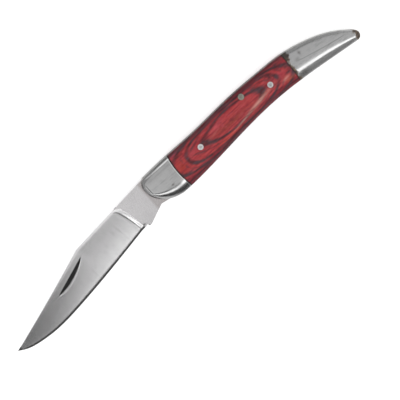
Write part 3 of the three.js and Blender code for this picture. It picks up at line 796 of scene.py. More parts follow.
def bolster_metal(look):
    """Buffed bolsters: streaks along the knife, painted shade on the flanks, painted highlights and a painted
    crease line, small pits and spots, and brown rust.
    """
    n = Nodes("buffed_bolster_metal")
    streak = n.noise((0.08, 1.3, 1.3), 5, 0.7)
    fine = n.noise((0.9, 14.0, 14.0), 3)
    cloud = n.noise((0.3, 0.45, 0.4), 4, 0.6)
    patch = n.noise((0.55, 0.55, 0.55), 4, 0.6, shift=(3, 1, 0))
    nick_side = n.step(n.z, -1.0, 0.0)
    colour = n.toned(look.bolster, n.add(n.times(streak, 0.9), n.times(cloud, 0.6), 0.25))
    # Painted shade: the steep flanks are darkened toward a dull grey
    flank = n.math("ABSOLUTE", n.add(n.noted("share"), n.times(n.less(streak, 0.5), 0.12)))
    colour = n.mix(n.times(n.step(flank, 0.55, 0.9), 0.15), colour, FLANK_SHADE_GREY)
    # Painted highlights of the front bolster
    colour = n.mix(n.times(bolster_glint(n), 0.8), colour, grey(0.92))
    # Painted shade along the rear bolster's crease
    colour = n.mix(n.times(bolster_crease_shade(n), 0.3), colour, grey(0.03))
    for *oval, strength in DARK_SPOTS:
        spot = n.times(n.add(n.times(patch, 0.8), 0.6), strength, n.blot(*oval), nick_side)
        colour = n.mix(spot, colour, SPOT_DARK)
    pit = n.step(n.noise((1.7, 2.4, 2.0), 2, shift=(0, 7, 0)), 0.74, 0.8)
    colour = n.mix(n.times(pit, 0.6), colour, grey(0.06))
    rust, rust_colour = bolster_rust(n, patch, nick_side)
    colour = n.mix(n.times(rust, 0.95), colour, rust_colour)
    n.bump(n.add(n.times(fine, 0.08), n.times(rust, 1.5), streak), 0.015, 0.25)
    rough = n.add(n.times(streak, 0.14), look.bolster_roughness - 0.07, n.times(rust, 0.4))
    return n.set(Base_Color=colour, Metallic=n.less(1.0, n.times(rust, 0.8)), Roughness=rough)


class WoodNodes(Nodes):
    """The wood's node tree, with its two sides and the noises that several of its layers share."""

    def __init__(self):
        super().__init__("red_laminated_wood")
        self.reverse_side = self.step(self.z, 0.5, -0.5)
        self.nick_side = self.less(1.0, self.reverse_side)
        self.grain = self.noise((0.4, 6.0, 6.0), 5, 0.65)
        self.patchy = self.noise((0.22, 0.9, 0.8), 4, 0.6, shift=(0, 5, 0))
        self.ragged = self.noise((0.5, 1.6, 1.5), 4, 0.7, shift=(7, 0, 3))
        wave = self.noise((0.12, 0.4, 0.05), 3, shift=(2.3, 0.4, 1.1))
        slow, quick = self.less(wave, 0.5), self.less(self.ragged, 0.5)
        self.warp = self.add(self.times(slow, 0.2), self.times(quick, 0.13))


def wood_reds(n, look):
    """Streaks, zones and fibres of red under the dark lines, with painted shade toward the belly."""
    red, deep = look.red, look.deep_red
    streak = n.noise((0.09, 1.1, 0.6), 4, 0.6, shift=(1.3, 0, 0))
    fibre = n.noise((0.1, 1.9, 1.0), 3, 0.6, shift=(0, 3, 9))
    mottle = n.noise((0.55, 1.1, 1.0), 4, 0.7, shift=(2, 2, 2))
    colour = n.ramp(streak, ((0.3, deep), (0.4, red), (0.5, look.light_red), (0.6, red), (0.72, deep)))
    for *oval, tint, strength in RED_ZONES:
        zone = n.times(n.blot(*oval), n.add(n.times(n.patchy, 0.8), strength - 0.3), n.nick_side)
        colour = n.mix(zone, colour, tint)
    colour = n.mix(n.times(n.step(mottle, 0.5, 0.72), 0.5), colour, look.rose)
    # Painted shade: the red deepens toward the belly
    belly = n.step(n.add(n.noted("share"), n.times(n.patchy, 0.4)), -0.1, -0.5)
    shades = ((n.step(mottle, 0.48, 0.3), 0.55), (belly, 0.8), (n.step(fibre, 0.52, 0.64), 0.5),
              (n.step(n.grain, 0.45, 0.7), 0.35))
    for place_on, strength in shades:
        colour = n.mix(n.times(place_on, strength), colour, deep)
    return colour


def wood_loops(n, loops, patches):
    """Dark loops of one side, worn in places and each with a fainter echo, and its dark patches."""
    dark = 0.0
    for k, (*oval, thick) in enumerate(loops):
        worn = n.noise((0.16, 0.5, 0.5), 3, shift=(3.7 * k, 11, 2))
        place_on = n.loop(*oval, n.warp)
        line = n.times(n.band(place_on, 1.0, thick * 0.2, thick * 1.2),
                       n.add(n.times(n.step(worn, 0.35, 0.6), 0.4), 0.7))
        echo = n.times(n.band(place_on, 1 + 2.4 * thick, 0.0, thick * 0.7), n.step(worn, 0.42, 0.55), 0.6)
        dark = n.most(dark, line, echo)
    dark = n.times(dark, n.add(n.times(n.step(n.patchy, 0.3, 0.6), 0.35), 0.75))
    for patch in patches:
        dark = n.most(dark, n.times(n.blot(*patch), n.add(n.ragged, 0.45)))
    return dark


def wood_lines(n):
    """All the dark lines: the loops of both sides and the layers that run along both flanks, with painted
    shade along the belly's edge.
    """
    nick_lines = n.times(wood_loops(n, NICK_SIDE_LOOPS, NICK_SIDE_PATCHES), n.nick_side)
    reverse_lines = n.times(wood_loops(n, REVERSE_LOOPS, REVERSE_PATCHES), n.reverse_side)
    lines = n.least(n.add(nick_lines, reverse_lines), 1.0)
    share = n.add(n.noted("share"), n.times(n.warp, 1.2))
    # The darkening at the belly's edge is painted shade; the two thin bands are layers
    flank = n.most(n.band(share, -0.72, 0.03, 0.1), n.band(share, 0.9, 0.06, 0.12),
                   n.times(n.step(share, -0.86, -1.0), 0.9))
    return n.most(lines, n.times(flank, 0.85))


def wood_ends(n):
    """Dark line along the joint at each end of the wood."""
    along = n.noted("along")
    front_clear, front_full = (SCALE_FRONT_X + reach for reach in FRONT_LINE)
    rear = n.step(along, SCALE_REAR_X - REAR_LINE, SCALE_REAR_X)
    return n.most(n.step(along, front_clear, front_full), rear)


def laminated_wood(look):
    """Dyed laminated wood: layers cut by the dome show as long dark loops between streaky reds."""
    n = WoodNodes()
    shade = n.mix(n.step(n.patchy, 0.4, 0.6), look.dark, look.ash)
    colour = n.mix(n.times(wood_lines(n), n.add(n.times(n.grain, 0.4), 0.75)), wood_reds(n, look), shade)
    pores = n.noise((0.5, 14.0, 14.0), 2)
    colour = n.mix(n.times(n.step(pores, 0.57, 0.72), 0.5), colour, look.dark)
    for *oval, strength in TAN_STREAKS:
        pale = n.times(n.step(n.grain, 0.3, 0.55), strength, n.blot(*oval, TAN_RISE), n.nick_side)
        colour = n.mix(pale, colour, look.tan)
    stain = n.times(n.step(n.pin_distance(), PIN_STAIN_OUTER, PIN_STAIN_INNER),
                    n.add(n.times(n.reverse_side, 0.6), 0.2))
    colour = n.mix(stain, colour, look.dark)
    colour = n.mix(n.times(wood_ends(n), 0.95), colour, WOOD_END)
    n.bump(n.add(n.grain, n.times(pores, 0.5)), 0.03, 0.35)
    return n.set(Base_Color=colour, Roughness=n.add(n.times(n.grain, 0.18), look.wood_roughness - 0.09),
                 Specular_IOR_Level=0.22, Coat_Weight=0.05, Coat_Roughness=0.25)


def pin_metal(name, colour):
    """Pin ends, filed flush: short scratches, a mottled middle and a paler rim; darker toward the tail."""
    n = Nodes(name)
    scratch = n.noise((2.0, 9.0, 2.0), 3, turn=0.6)
    cloud = n.noise((1.1, 1.1, 1.0), 3, shift=(0.6, 0, 0))
    tone = n.add(n.times(scratch, 0.7), n.times(cloud, 1.2), 0.05)
    tone = n.times(tone, n.add(n.times(n.step(n.pin_distance(), 0.35, 0.8), 0.35), 0.75),
                   n.less(1.0, n.times(n.step(n.x, 40.0, 47.0), 0.25)))
    n.bump(scratch, 0.02, 0.5)
    return n.set(Base_Color=n.toned(colour, tone), Metallic=1.0, Roughness=n.add(n.times(scratch, 0.2), 0.2))


# Settings that a user would change

def size_setting(name, description, millimetres):
    return FloatProperty(name=name, description=description, default=millimetres * MM, unit="LENGTH",
                         precision=5)


def roughness_setting(name, description, default):
    return FloatProperty(name=name, description=description, default=default, min=0, max=1, subtype="FACTOR")


def colour_setting(name, description, default):
    return FloatVectorProperty(name=name, description=description, default=default, subtype="COLOR",
                               size=3, min=0, max=1)


class KnifeShapeSettings(bpy.types.PropertyGroup):
    """Small sizes of the knife's pieces."""
    crown_flat: size_setting("Crown flat", "Half width of the flat along the covers", 2.1)
    seam_round: size_setting("Seam round", "Rounding of the covers at their joints", 0.16)
    spine_chamfer: size_setting("Spine chamfer", "Eased corner along the blade's spine", 0.14)
    bevel_height: size_setting("Edge bevel", "Height of the honed bevel", 0.7)
    pin_rim: size_setting("Pin rim", "Rounding at the rim of the pins", 0.12)


class KnifeFinishSettings(bpy.types.PropertyGroup):
    """Colours and finishes."""
    blade: colour_setting("Blade", "Satin steel of the blade", (0.62, 0.615, 0.62))
    blade_roughness: roughness_setting("Blade roughness", "Roughness of the satin grind", 0.24)
    tang: colour_setting("Tang", "Polished steel of the tang", (0.455, 0.445, 0.45))
    plunge: colour_setting("Plunge", "Bright radius at the end of the grind", (0.85, 0.84, 0.845))
    bolster: colour_setting("Bolsters", "Buffed metal of the bolsters", (0.36, 0.36, 0.36))
    bolster_roughness: roughness_setting("Bolster roughness", "Roughness of the buffed metal", 0.22)
    spring: colour_setting("Spring", "Ground steel of the back spring", (0.26, 0.255, 0.245))
    liner: colour_setting("Liners", "Ground sheet of the liners", (0.25, 0.24, 0.215))
    pin: colour_setting("Pins", "Metal of the scale pins", (0.53, 0.53, 0.53))
    spring_pin: colour_setting("Spring pin", "Duller metal of the spring pin", (0.24, 0.235, 0.20))
    red: colour_setting("Red", "Main red of the wood", (0.29, 0.020, 0.027))
    light_red: colour_setting("Light red", "Brightest red of the wood", (0.41, 0.040, 0.040))
    deep_red: colour_setting("Deep red", "Shaded red of the wood", (0.15, 0.010, 0.02))
    dark: colour_setting("Dark", "Dark layers between the reds", (0.035, 0.006, 0.010))
    rose: colour_setting("Rose", "Pinkish patches of the wood", (0.40, 0.055, 0.075))
    ash: colour_setting("Ash", "Grey of the worn dark layers", (0.060, 0.028, 0.036))
    tan: colour_setting("Tan", "Light streaks in the wood", (0.48, 0.20, 0.165))
    wood_roughness: roughness_setting("Wood roughness", "Roughness of the lacquered wood", 0.42)


class KnifeStudioSettings(bpy.types.PropertyGroup):
    """Camera, lamps and floor."""
    tilt: FloatProperty(name="Camera tilt", description="Lean of the camera toward the knife's back",
                        default=math.radians(8), subtype="ANGLE")
    lens: FloatProperty(name="Lens", description="Focal length of the camera", default=200, unit="CAMERA")
    floor: colour_setting("Floor", "Colour of the floor", (0.82, 0.82, 0.82))
    fill: FloatProperty(name="Fill", description="Strength of the even light", default=0.75, min=0)
    key: FloatProperty(name="Key lamp", description="Power of the overhead soft box", default=2.0, min=0,
                       unit="POWER")
    streak: FloatProperty(name="Streak", description="Strength of the cards that make the white streaks",
                          default=2.0, min=0)
    card_height: FloatProperty(name="Card height", description="Height of the cards over the knife",
                               default=0.2, min=0.05, unit="LENGTH")
    card_reach: FloatProperty(name="Card reach", description="How far the cards reach to both ends",
                              default=0.6, min=0.2, unit="LENGTH")


# Pieces

def cover_stations(from_x, to_x, seam):
    """Stations along a cover piece, close together where its ends are rounded."""
    front_run = NOSE_RUN_BACK if from_x == NOSE_X else seam
    rear_run = TAIL_RUN_BELLY if to_x == TAIL_X else seam
    turns = [1 - math.cos(i / END_STEPS * math.pi / 2) for i in range(1, END_STEPS + 1)]
    low, high = from_x + front_run + STATION_CLEAR, to_x - rear_run - STATION_CLEAR
    between = np.linspace(from_x, to_x, round((to_x - from_x) / STATION_STEP) + 1)
    xs = [from_x, to_x] + [float(x) for x in between if low < x < high]
    xs += [from_x + front_run * turn for turn in turns] + [to_x - rear_run * turn for turn in turns]
    return sorted(set(xs))


def seam_drop(x, from_x, to_x, seam):
    """How far a cover's surface falls where it is rounded at a joint."""
    for end, is_seam in ((x - from_x, from_x != NOSE_X), (to_x - x, to_x != TAIL_X)):
        if is_seam and end < seam:
            return seam * (1 - round_off(end, seam)) * SEAM_DROP
    return 0.0


def cover_rings(from_x, to_x, flat_half, seam):
    """Rings over a cover piece: flat inside, side walls and a crown with a flat along its top."""
    rings = []
    for x in cover_stations(from_x, to_x, seam):
        drop = seam_drop(x, from_x, to_x, seam)
        back, belly = handle_edges(x)
        back, belly, wall, crown = back - drop, belly + drop, SIDE_WALL - drop, cover_crown(x) - drop
        middle, half = (back + belly) / 2, (back - belly) / 2
        flat = min(flat_half, half * FLAT_LIMIT)
        beside = [flat + (half - flat) * i / SIDE_STEPS for i in range(SIDE_STEPS + 1)]
        on_flat = [flat * (1 - (2 * i + 1) / FLAT_POINTS) for i in range(FLAT_POINTS)]
        ring = [(x, belly, LINER_OUTER), (x, back, LINER_OUTER)]
        for off in beside[::-1] + on_flat + [-off for off in beside]:
            rise = section_rise(x, off, half, flat)
            ring.append((x, middle + off, LINER_OUTER + lerp(wall, crown, rise)))
        rings.append([(px + joint_shift(px, py), py, pz) for px, py, pz in ring])
    return rings


def ring_shares():
    """Share of each point of a ring, in the order that cover_rings gives them."""
    beside = [i / SIDE_STEPS for i in range(SIDE_STEPS + 1)]
    return [-INSIDE_SHARE, INSIDE_SHARE] + beside[::-1] + [0] * FLAT_POINTS + [-share for share in beside]


def add_cover(name, from_x, to_x, material, replaced):
    """One cover piece on each side of the knife, standing for the nodes that it replaces."""
    shape = bpy.context.scene.knife_shape
    flat_half, seam = shape.crown_flat / MM, shape.seam_round / MM
    rings = cover_rings(from_x, to_x, flat_half, seam)
    points, faces, _ = lofted(rings)
    for side, sign in SIDES:
        obj = make_object(f"{name}_{side}_skin", [(x, y, z * sign) for x, y, z in points], faces)
        note(obj, "share", ring_shares() * len(rings))
        note(obj, "along", [x for x in cover_stations(from_x, to_x, seam) for _ in rings[0]])
        outward(obj)
        obj.data.materials.append(material)
        smooth(obj, COVER_SHARP)
        place(obj, "handle", [f"{node}_{side}" for node in replaced])


def circle(x, y, radius, count):
    turn = [k / count * 2 * math.pi for k in range(count)]
    return [(x + radius * math.cos(a), y + radius * math.sin(a)) for a in turn]


def pin_rings(x, y, radius, rim, flat_half):
    """Rings of a pin's end: out from its axis over the crown, round its rim and down to the liner."""
    profile = [(i / PIN_RINGS * (radius - rim), PIN_RISE) for i in range(PIN_RINGS + 1)]
    for a in (math.pi / 2 / PIN_ROUND_STEPS * k for k in range(1, PIN_ROUND_STEPS + 1)):
        profile.append((radius - rim + rim * math.sin(a), PIN_RISE - rim * (1 - math.cos(a))))
    rings = []
    for r, rise in profile:
        around = circle(x, y, max(r, PIN_CENTRE), PIN_SEGMENTS)
        rings.append([(px, py, cover_surface(px, py, flat_half) + rise) for px, py in around])
    rings.append([(px, py, LINER_INNER) for px, py, _ in rings[-1]])
    return rings


def add_pin_ends(name, x, y, radius, material, slot):
    """Pin ends that follow the crown, with a rounded rim; returns one object for each side."""
    shape = bpy.context.scene.knife_shape
    points, faces, _ = lofted(pin_rings(x, y, radius, shape.pin_rim / MM, shape.crown_flat / MM))
    made = []
    for side, sign in SIDES:
        obj = outward(make_object(f"{name}_{side}", [(px, py, pz * sign) for px, py, pz in points], faces))
        obj.data.materials.append(material)
        smooth(obj, PIN_SHARP)
        made.append(place(obj, "handle"))
    return made


def spine_height(x):
    if x > -CLIP_START:
        return SPINE_OVER_PIVOT + SPINE_SLOPE * x
    t = (-CLIP_START - x) / (BLADE_REACH - CLIP_START)
    return lerp(SPINE_OVER_PIVOT - SPINE_SLOPE * CLIP_START, TIP_DROP, t) - CLIP_HOLLOW * 4 * t * (1 - t)


def plunge_line(q):
    """Where the grind ends along the blade, from the edge (q 0) to the spine (q 1)."""
    curl = PLUNGE_CURL * clamp((q - (1 - PLUNGE_CURL_RUN)) / PLUNGE_CURL_RUN) ** 2
    return -PLUNGE_X - PLUNGE_SWEEP * q ** PLUNGE_POWER - curl


def plunge_width(q):
    return lerp(PLUNGE_WIDTH_HEEL, PLUNGE_WIDTH_SPINE, q)


def spine_half(x):
    """Half thickness under the spine: even to the clip, then thinner toward the tip."""
    along = clamp((-CLIP_START - x) / (BLADE_REACH - CLIP_START))
    return lerp(BLADE_HALF, TIP_HALF, along ** TAPER_POWER)


def hollow_span(length, bevel):
    """Where the hollow grind begins over the bevel and ends under the spine, as shares of the length."""
    return min(bevel / length, BEVEL_LIMIT), 1 - min(SPINE_LAND / length, LAND_LIMIT)


def grind_levels(length, bevel, chamfer):
    """Levels from the edge (0) to the spine (1), each with its share of the hollow: -1 is the edge itself,
    and 2 the spine inside its chamfer."""
    bevel_top, hollow_top = hollow_span(length, bevel)
    hollow = [(lerp(bevel_top, hollow_top, i / GRIND_STEPS), i / GRIND_STEPS) for i in range(GRIND_STEPS + 1)]
    return [(0.0, -1)] + hollow + [(1 - min(chamfer / length, CHAMFER_LIMIT), 1), (1.0, 2)]


def ground_half(x, part, chamfer):
    """Half thickness of the ground blade at a station and a level's share of the hollow."""
    if part < 0:
        return EDGE_HALF
    full = min(spine_half(x), TIP_FINE + TIP_GROWTH * (x + BLADE_REACH))
    if part > 1:
        return full - min(chamfer, full * THIN_CHAMFER)
    return lerp(min(BEVEL_HALF, full * THIN_BEVEL), full, part ** HOLLOW_POWER)


def face_half(x, below, bevel, chamfer):
    """Half thickness of the blade at a distance below its spine."""
    length = spine_height(x) - edge_depth(x)
    first, last = hollow_span(length, bevel)
    return ground_half(x, clamp((1 - below / length - first) / (last - first)), chamfer)


def plunge_drop(along):
    """Share of the hollow's depth reached along the plunge: a steady slope with rounded ends."""
    return along * along * (3 - 2 * along)


def mirrored_ring(points):
    """A ring of the blade's skin from the points (x, y, half thickness) of one face."""
    return [(x, y, half) for x, y, half in points] + [(x, y, -half) for x, y, half in reversed(points)]


def plunge_rings(bevel, chamfer):
    """Rings of the plunge, after two that lie inside the tang."""
    rings = []
    length = spine_height(plunge_line(1)) - edge_depth(plunge_line(0))
    for k in range(-len(GRIND_INSIDE), PLUNGE_STEPS + 1):
        along = max(k / PLUNGE_STEPS, 0)
        inside, sunk = (GRIND_INSIDE[k], GRIND_SUNK) if k < 0 else (0, 0)
        drop = plunge_drop(along)
        edge_y = edge_depth(plunge_line(0) - plunge_width(0) * along)
        points = []
        for q, part in grind_levels(length, bevel, chamfer):
            x = plunge_line(q) - plunge_width(q) * along + inside
            flat = BLADE_HALF - sunk - (chamfer if part > 1 else 0)
            half = lerp(flat, ground_half(x, part, chamfer), drop)
            points.append((x, lerp(edge_y, spine_height(x), q), half))
        rings.append(mirrored_ring(points))
    return rings


def ground_rings(bevel, chamfer):
    """Rings of the hollow grind from the plunge to the tip; the plunge's bow fades out on the way."""
    def inner(q):
        return plunge_line(q) - plunge_width(q)

    rings = []
    for i in range(1, GROUND_STATIONS + 1):
        t = i / GROUND_STATIONS
        edge_x, spine_x = lerp(inner(0), -BLADE_REACH, t), lerp(inner(1), -BLADE_REACH, t)
        edge_y, spine_y = edge_depth(edge_x), spine_height(spine_x)
        across = max(math.hypot(spine_x - edge_x, spine_y - edge_y), NARROWEST)
        points = []
        for q, part in grind_levels(across, bevel, chamfer):
            bow = inner(q) - lerp(inner(0), inner(1), q)
            x = lerp(edge_x, spine_x, q) + bow * (1 - t) ** BOW_FADE
            points.append((x, lerp(edge_y, spine_y, q), ground_half(x, part, chamfer)))
        rings.append(mirrored_ring(points))
    return rings


def open_from_shut(x, y):
    """A point of the tang that lies at (x, y) when the blade is shut."""
    c, s = math.cos(-FOLD), math.sin(-FOLD)
    return x * c - y * s, x * s + y * c


def tang_outline(bevel, chamfer):
    """Tang: notch for the spring, flat for open, round cam, flat for shut, relief, kick and heel."""
    level, radius = BEARING - BEARING_GAP, BEARING + CAM_RISE
    corner = math.sqrt(radius * radius - level * level)
    start, heel_x = plunge_line(1), plunge_line(0)
    outline = [(start, spine_height(start))]
    length = spine_height(start) - edge_depth(heel_x)
    for q, _ in reversed(grind_levels(length, bevel, chamfer)[1:-2]):
        x = plunge_line(q) + TANG_OVERLAP
        outline.append((x, lerp(edge_depth(heel_x), spine_height(x), q)))
    outline += [(heel_x, edge_depth(heel_x)), open_from_shut(KICK_X, level),
                open_from_shut(KICK_X - KICK_WIDTH, level), RELIEF_POINT, open_from_shut(SHUT_FLAT_X, level)]
    cam_x, cam_y = open_from_shut(-corner, level)
    first, last = math.atan2(cam_y, cam_x), math.atan2(level, corner)
    if first > 0:
        first -= 2 * math.pi
    cam = [(radius * math.cos(a), radius * math.sin(a)) for a in np.linspace(first, last, CAM_POINTS)]
    return outline + cam + [(NOTCH_X, level), (NOTCH_X, spine_height(NOTCH_X))]


def nick_rings(bevel, chamfer):
    """Cutter for the nail nick: a steep upper wall and a face that rises to the blade's surface."""
    above = BLADE_HALF + CUTTER_CLEAR
    end_x = NICK_X - NICK_LENGTH
    start = Vector((NICK_X, spine_height(NICK_X) - NICK_BELOW_SPINE))
    end = Vector((end_x, spine_height(end_x) - NICK_BELOW_SPINE))
    down = Vector((start.y - end.y, end.x - start.x)).normalized()
    rings = []
    for i in range(NICK_STEPS + 1):
        t = lerp(NICK_END, 1 - NICK_END, i / NICK_STEPS)
        swell = (4 * t * (1 - t)) ** NICK_SWELL
        upper = start.lerp(end, t)
        lower = upper + down * NICK_WIDTH * swell
        surface = face_half(upper.x, NICK_BELOW_SPINE, bevel, chamfer)
        bottom = surface - NICK_DEPTH * swell
        out = upper.lerp(lower, (above - bottom) / (surface - bottom))
        rings.append([(upper.x, upper.y, above), (upper.x, upper.y, bottom),
                      (lower.x, lower.y, surface), (out.x, out.y, above)])
    return rings


def plate_object(name, outline, half):
    """A flat plate of an outline, even on both sides of the middle plane."""
    count = len(outline)
    points = [(x, y, -half) for x, y in outline] + [(x, y, half) for x, y in outline]
    faces = [tuple(range(count)), tuple(range(2 * count - 1, count - 1, -1))]
    faces += [(i, (i + 1) % count, (i + 1) % count + count, i + count) for i in range(count)]
    return outward(make_object(name, points, faces))


def ground_part(bevel, chamfer):
    """The blade's ground part, its faces numbered for the grind, the edge and the plunge."""
    rings = plunge_rings(bevel, chamfer) + ground_rings(bevel, chamfer)
    count = len(rings[0])

    def metal_of(band, i):
        if i in (0, count - 2, count - 1) or band >= len(rings) - 1 - TIP_BANDS:
            return EDGE
        return PLUNGE if len(GRIND_INSIDE) <= band < PLUNGE_STEPS - 2 else GRIND

    return outward(make_object("blade_body", *lofted(rings, metal_of)))


def nick_cutter(bevel, chamfer):
    points, faces, _ = lofted(nick_rings(bevel, chamfer))
    return outward(make_object("nick_cutter", points, faces))


def choil_cutter():
    """Round cutter for the choil, halfway between the heel and the kick."""
    heel = Vector((plunge_line(0), edge_depth(plunge_line(0))))
    middle = heel.lerp(Vector(open_from_shut(KICK_X, BEARING)), 0.5)
    outline = circle(middle.x, middle.y, CHOIL_RADIUS, CHOIL_SEGMENTS)
    return plate_object("choil_cutter", outline, CHOIL_CUTTER_HALF)


# Operators

class KNIFE_OT_bolsters(bpy.types.Operator):
    """Make the front and rear bolsters on both sides"""
    bl_idname = "knife.bolsters"
    bl_label = "Bolsters"

    def execute(self, context):
        metal = bolster_metal(context.scene.knife_finish)
        for end, from_x, to_x in (("front", NOSE_X, SCALE_FRONT_X), ("rear", SCALE_REAR_X, TAIL_X)):
            add_cover(f"{end}_bolster", from_x, to_x, metal,
                      (f"{end}_bolster", f"bolster_pin_{end}"))
        return {"FINISHED"}


class KNIFE_OT_scales(bpy.types.Operator):
    """Make the wooden scales on both sides"""
    bl_idname = "knife.scales"
    bl_label = "Wooden scales"

    def execute(self, context):
        wood = laminated_wood(context.scene.knife_finish)
        add_cover("wooden_scale", SCALE_FRONT_X, SCALE_REAR_X, wood, ("scale",))
        return {"FINISHED"}


class KNIFE_OT_pins(bpy.types.Operator):
    """Make the pin ends in the wooden scales, and finish the two pins that go through the bolsters"""
    bl_idname = "knife.pins"
    bl_label = "Pins"

    def execute(self, context):
        finish = context.scene.knife_finish
        metal = pin_metal("filed_pin_metal", finish.pin)
        for name, x, y, radius in SCALE_PINS:
            ends = add_pin_ends(f"scale_pin_end_{name}", x, y, radius, metal, "pin_metal")
            for (side, _), obj in zip(SIDES, ends):
                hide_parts(f"scale_pin_{name}_{side}")
        dull = pin_metal("filed_spring_pin_metal", finish.spring_pin)
        ends = add_pin_ends("spring_pin_end", *SPRING_PIN, dull, "spring_pin_brass")
        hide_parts("spring_pin")
        for node in ("pivot_pin", "end_pin"):
            finish_node(node, metal)
        return {"FINISHED"}


class KNIFE_OT_spring_and_liners(bpy.types.Operator):
    """Finish the back spring and the liners"""
    bl_idname = "knife.spring_and_liners"
    bl_label = "Spring and liners"

    def execute(self, context):
        finish = context.scene.knife_finish
        spring = steel_ground("ground_spring_steel", finish.spring)
        liner = steel_ground("ground_liner_sheet", finish.liner)
        for node, metal in (("back_spring", spring), ("liner_mark", liner), ("liner_reverse", liner)):
            bevel = finish_node(node, metal).modifiers.new("eased_edges", "BEVEL")
            bevel.width = EASED_EDGE * MM
            bevel.segments = 2
            bevel.limit_method = "ANGLE"
            bevel.angle_limit = math.radians(NODE_SHARP)
        return {"FINISHED"}


class KNIFE_OT_blade(bpy.types.Operator):
    """Make the blade with its tang, hollow grind and nail nick"""
    bl_idname = "knife.blade"
    bl_label = "Blade"

    def execute(self, context):
        shape, finish = context.scene.knife_shape, context.scene.knife_finish
        bevel, chamfer = shape.bevel_height / MM, shape.spine_chamfer / MM
        metals = [steel_blade(finish), steel_edge(), steel_tang(finish), steel_nick(), steel_plunge(finish)]
        blade = ground_part(bevel, chamfer)
        tang = plate_object("tang_plate", tang_outline(bevel, chamfer), BLADE_HALF)
        nick, choil = nick_cutter(bevel, chamfer), choil_cutter()
        for obj, used in ((blade, range(len(metals))), (tang, [TANG]), (nick, [NICK]), (choil, [EDGE])):
            for number in used:
                obj.data.materials.append(metals[number])
        boolean(blade, tang, "UNION")
        boolean(blade, nick, "DIFFERENCE")
        boolean(blade, choil, "DIFFERENCE")
        if all(face.material_index != NICK for face in blade.data.polygons):
            raise RuntimeError("the nail nick is missing")
        blade.data.validate()
        smooth(blade, BLADE_SHARP)
        place(blade, "blade", ("blade",))
        return {"FINISHED"}


class KNIFE_OT_stage(bpy.types.Operator):
    """Lay the floor, set the lamp and the cards and place the camera"""
    bl_idname = "knife.stage"
    bl_label = "Floor, lamp, cards and camera"

    def execute(self, context):
        studio = context.scene.knife_studio
        add_floor(studio)
        add_world(studio)
        add_key_lamp(studio)
        add_cards(studio)
        add_camera(studio)
        return {"FINISHED"}


# Stage

def stage_sheet(name, corners, material_name):
    """A four-cornered sheet of the stage, with a material that doesn't shine and can glow white."""
    mesh = bpy.data.meshes.new(name)
    mesh.from_pydata(corners, [], [(0, 1, 2, 3)])
    sheet = new_object(name, mesh)
    material = bpy.data.materials.new(material_name)
    material.use_nodes = True
    shader = material.node_tree.nodes["Principled BSDF"]
    shader.inputs["Specular IOR Level"].default_value = 0.0
    shader.inputs["Emission Color"].default_value = (1, 1, 1, 1)
    sheet.data.materials.append(material)
    return sheet


def seen_ray(graph, strength):
    """A strength on camera, glossy and transmission rays, and none on the others."""
    rays = graph.new("ShaderNodeLightPath").outputs
    seen = graph.most(*(rays[f"Is {kind} Ray"] for kind in ("Camera", "Glossy", "Transmission")))
    return graph.times(seen, strength)


def add_floor(studio):
    """Pale floor under the knife, which keeps its shadow and is close to white in the view."""
    corners = ((-FLOOR_HALF, -FLOOR_HALF), (FLOOR_HALF, -FLOOR_HALF), (FLOOR_HALF, FLOOR_HALF),
               (-FLOOR_HALF, FLOOR_HALF))
    floor = stage_sheet("floor", [(x, y, FLOOR_LEVEL) for x, y in corners], "pale_floor")
    graph = Graph(floor.data.materials[0].node_tree)
    shader = graph.tree.nodes["Principled BSDF"]
    shader.inputs["Base Color"].default_value = (*studio.floor, 1)
    shader.inputs["Roughness"].default_value = 0.9
    graph.feed(shader.inputs["Emission Strength"], seen_ray(graph, FLOOR_GLOW))


def add_world(studio):
    """Even light all round, white where it is seen or reflected."""
    world = bpy.data.worlds.new("studio")
    world.use_nodes = True
    graph = Graph(world.node_tree)
    background = graph.tree.nodes["Background"]
    background.inputs["Color"].default_value = (1, 1, 1, 1)
    strength = graph.add(seen_ray(graph, 1 - studio.fill), studio.fill)
    graph.feed(background.inputs["Strength"], strength)
    bpy.context.scene.world = world


def add_key_lamp(studio):
    """A soft box straight over the knife, which its metal doesn't reflect."""
    light = bpy.data.lights.new("key_soft_box", "AREA")
    light.shape = "RECTANGLE"
    light.size, light.size_y = LAMP_SIZE
    light.energy = studio.key
    lamp = new_object("key_soft_box", light)
    lamp.location = (0, 0, LAMP_HEIGHT)
    lamp.visible_glossy = False


def add_card(name, strength, span_x, span_y, span_z):
    """A card that only polished surfaces see, level or upright; its spans are from under the pivot."""
    (x0, x1), (y0, y1), (z0, z1) = span_x, span_y, span_z
    corners = ((x0, y0, z0), (x1, y0, z0), (x1, y1, z1), (x0, y1, z1))
    card = stage_sheet(name, [(x + PIVOT.x, y + PIVOT.y, z) for x, y, z in corners], name)
    shader = card.data.materials[0].node_tree.nodes["Principled BSDF"]
    shader.inputs["Base Color"].default_value = (0, 0, 0, 1)
    shader.inputs["Emission Strength"].default_value = strength
    card.visible_camera = card.visible_diffuse = card.visible_shadow = False
    card.visible_transmission = card.visible_volume_scatter = False


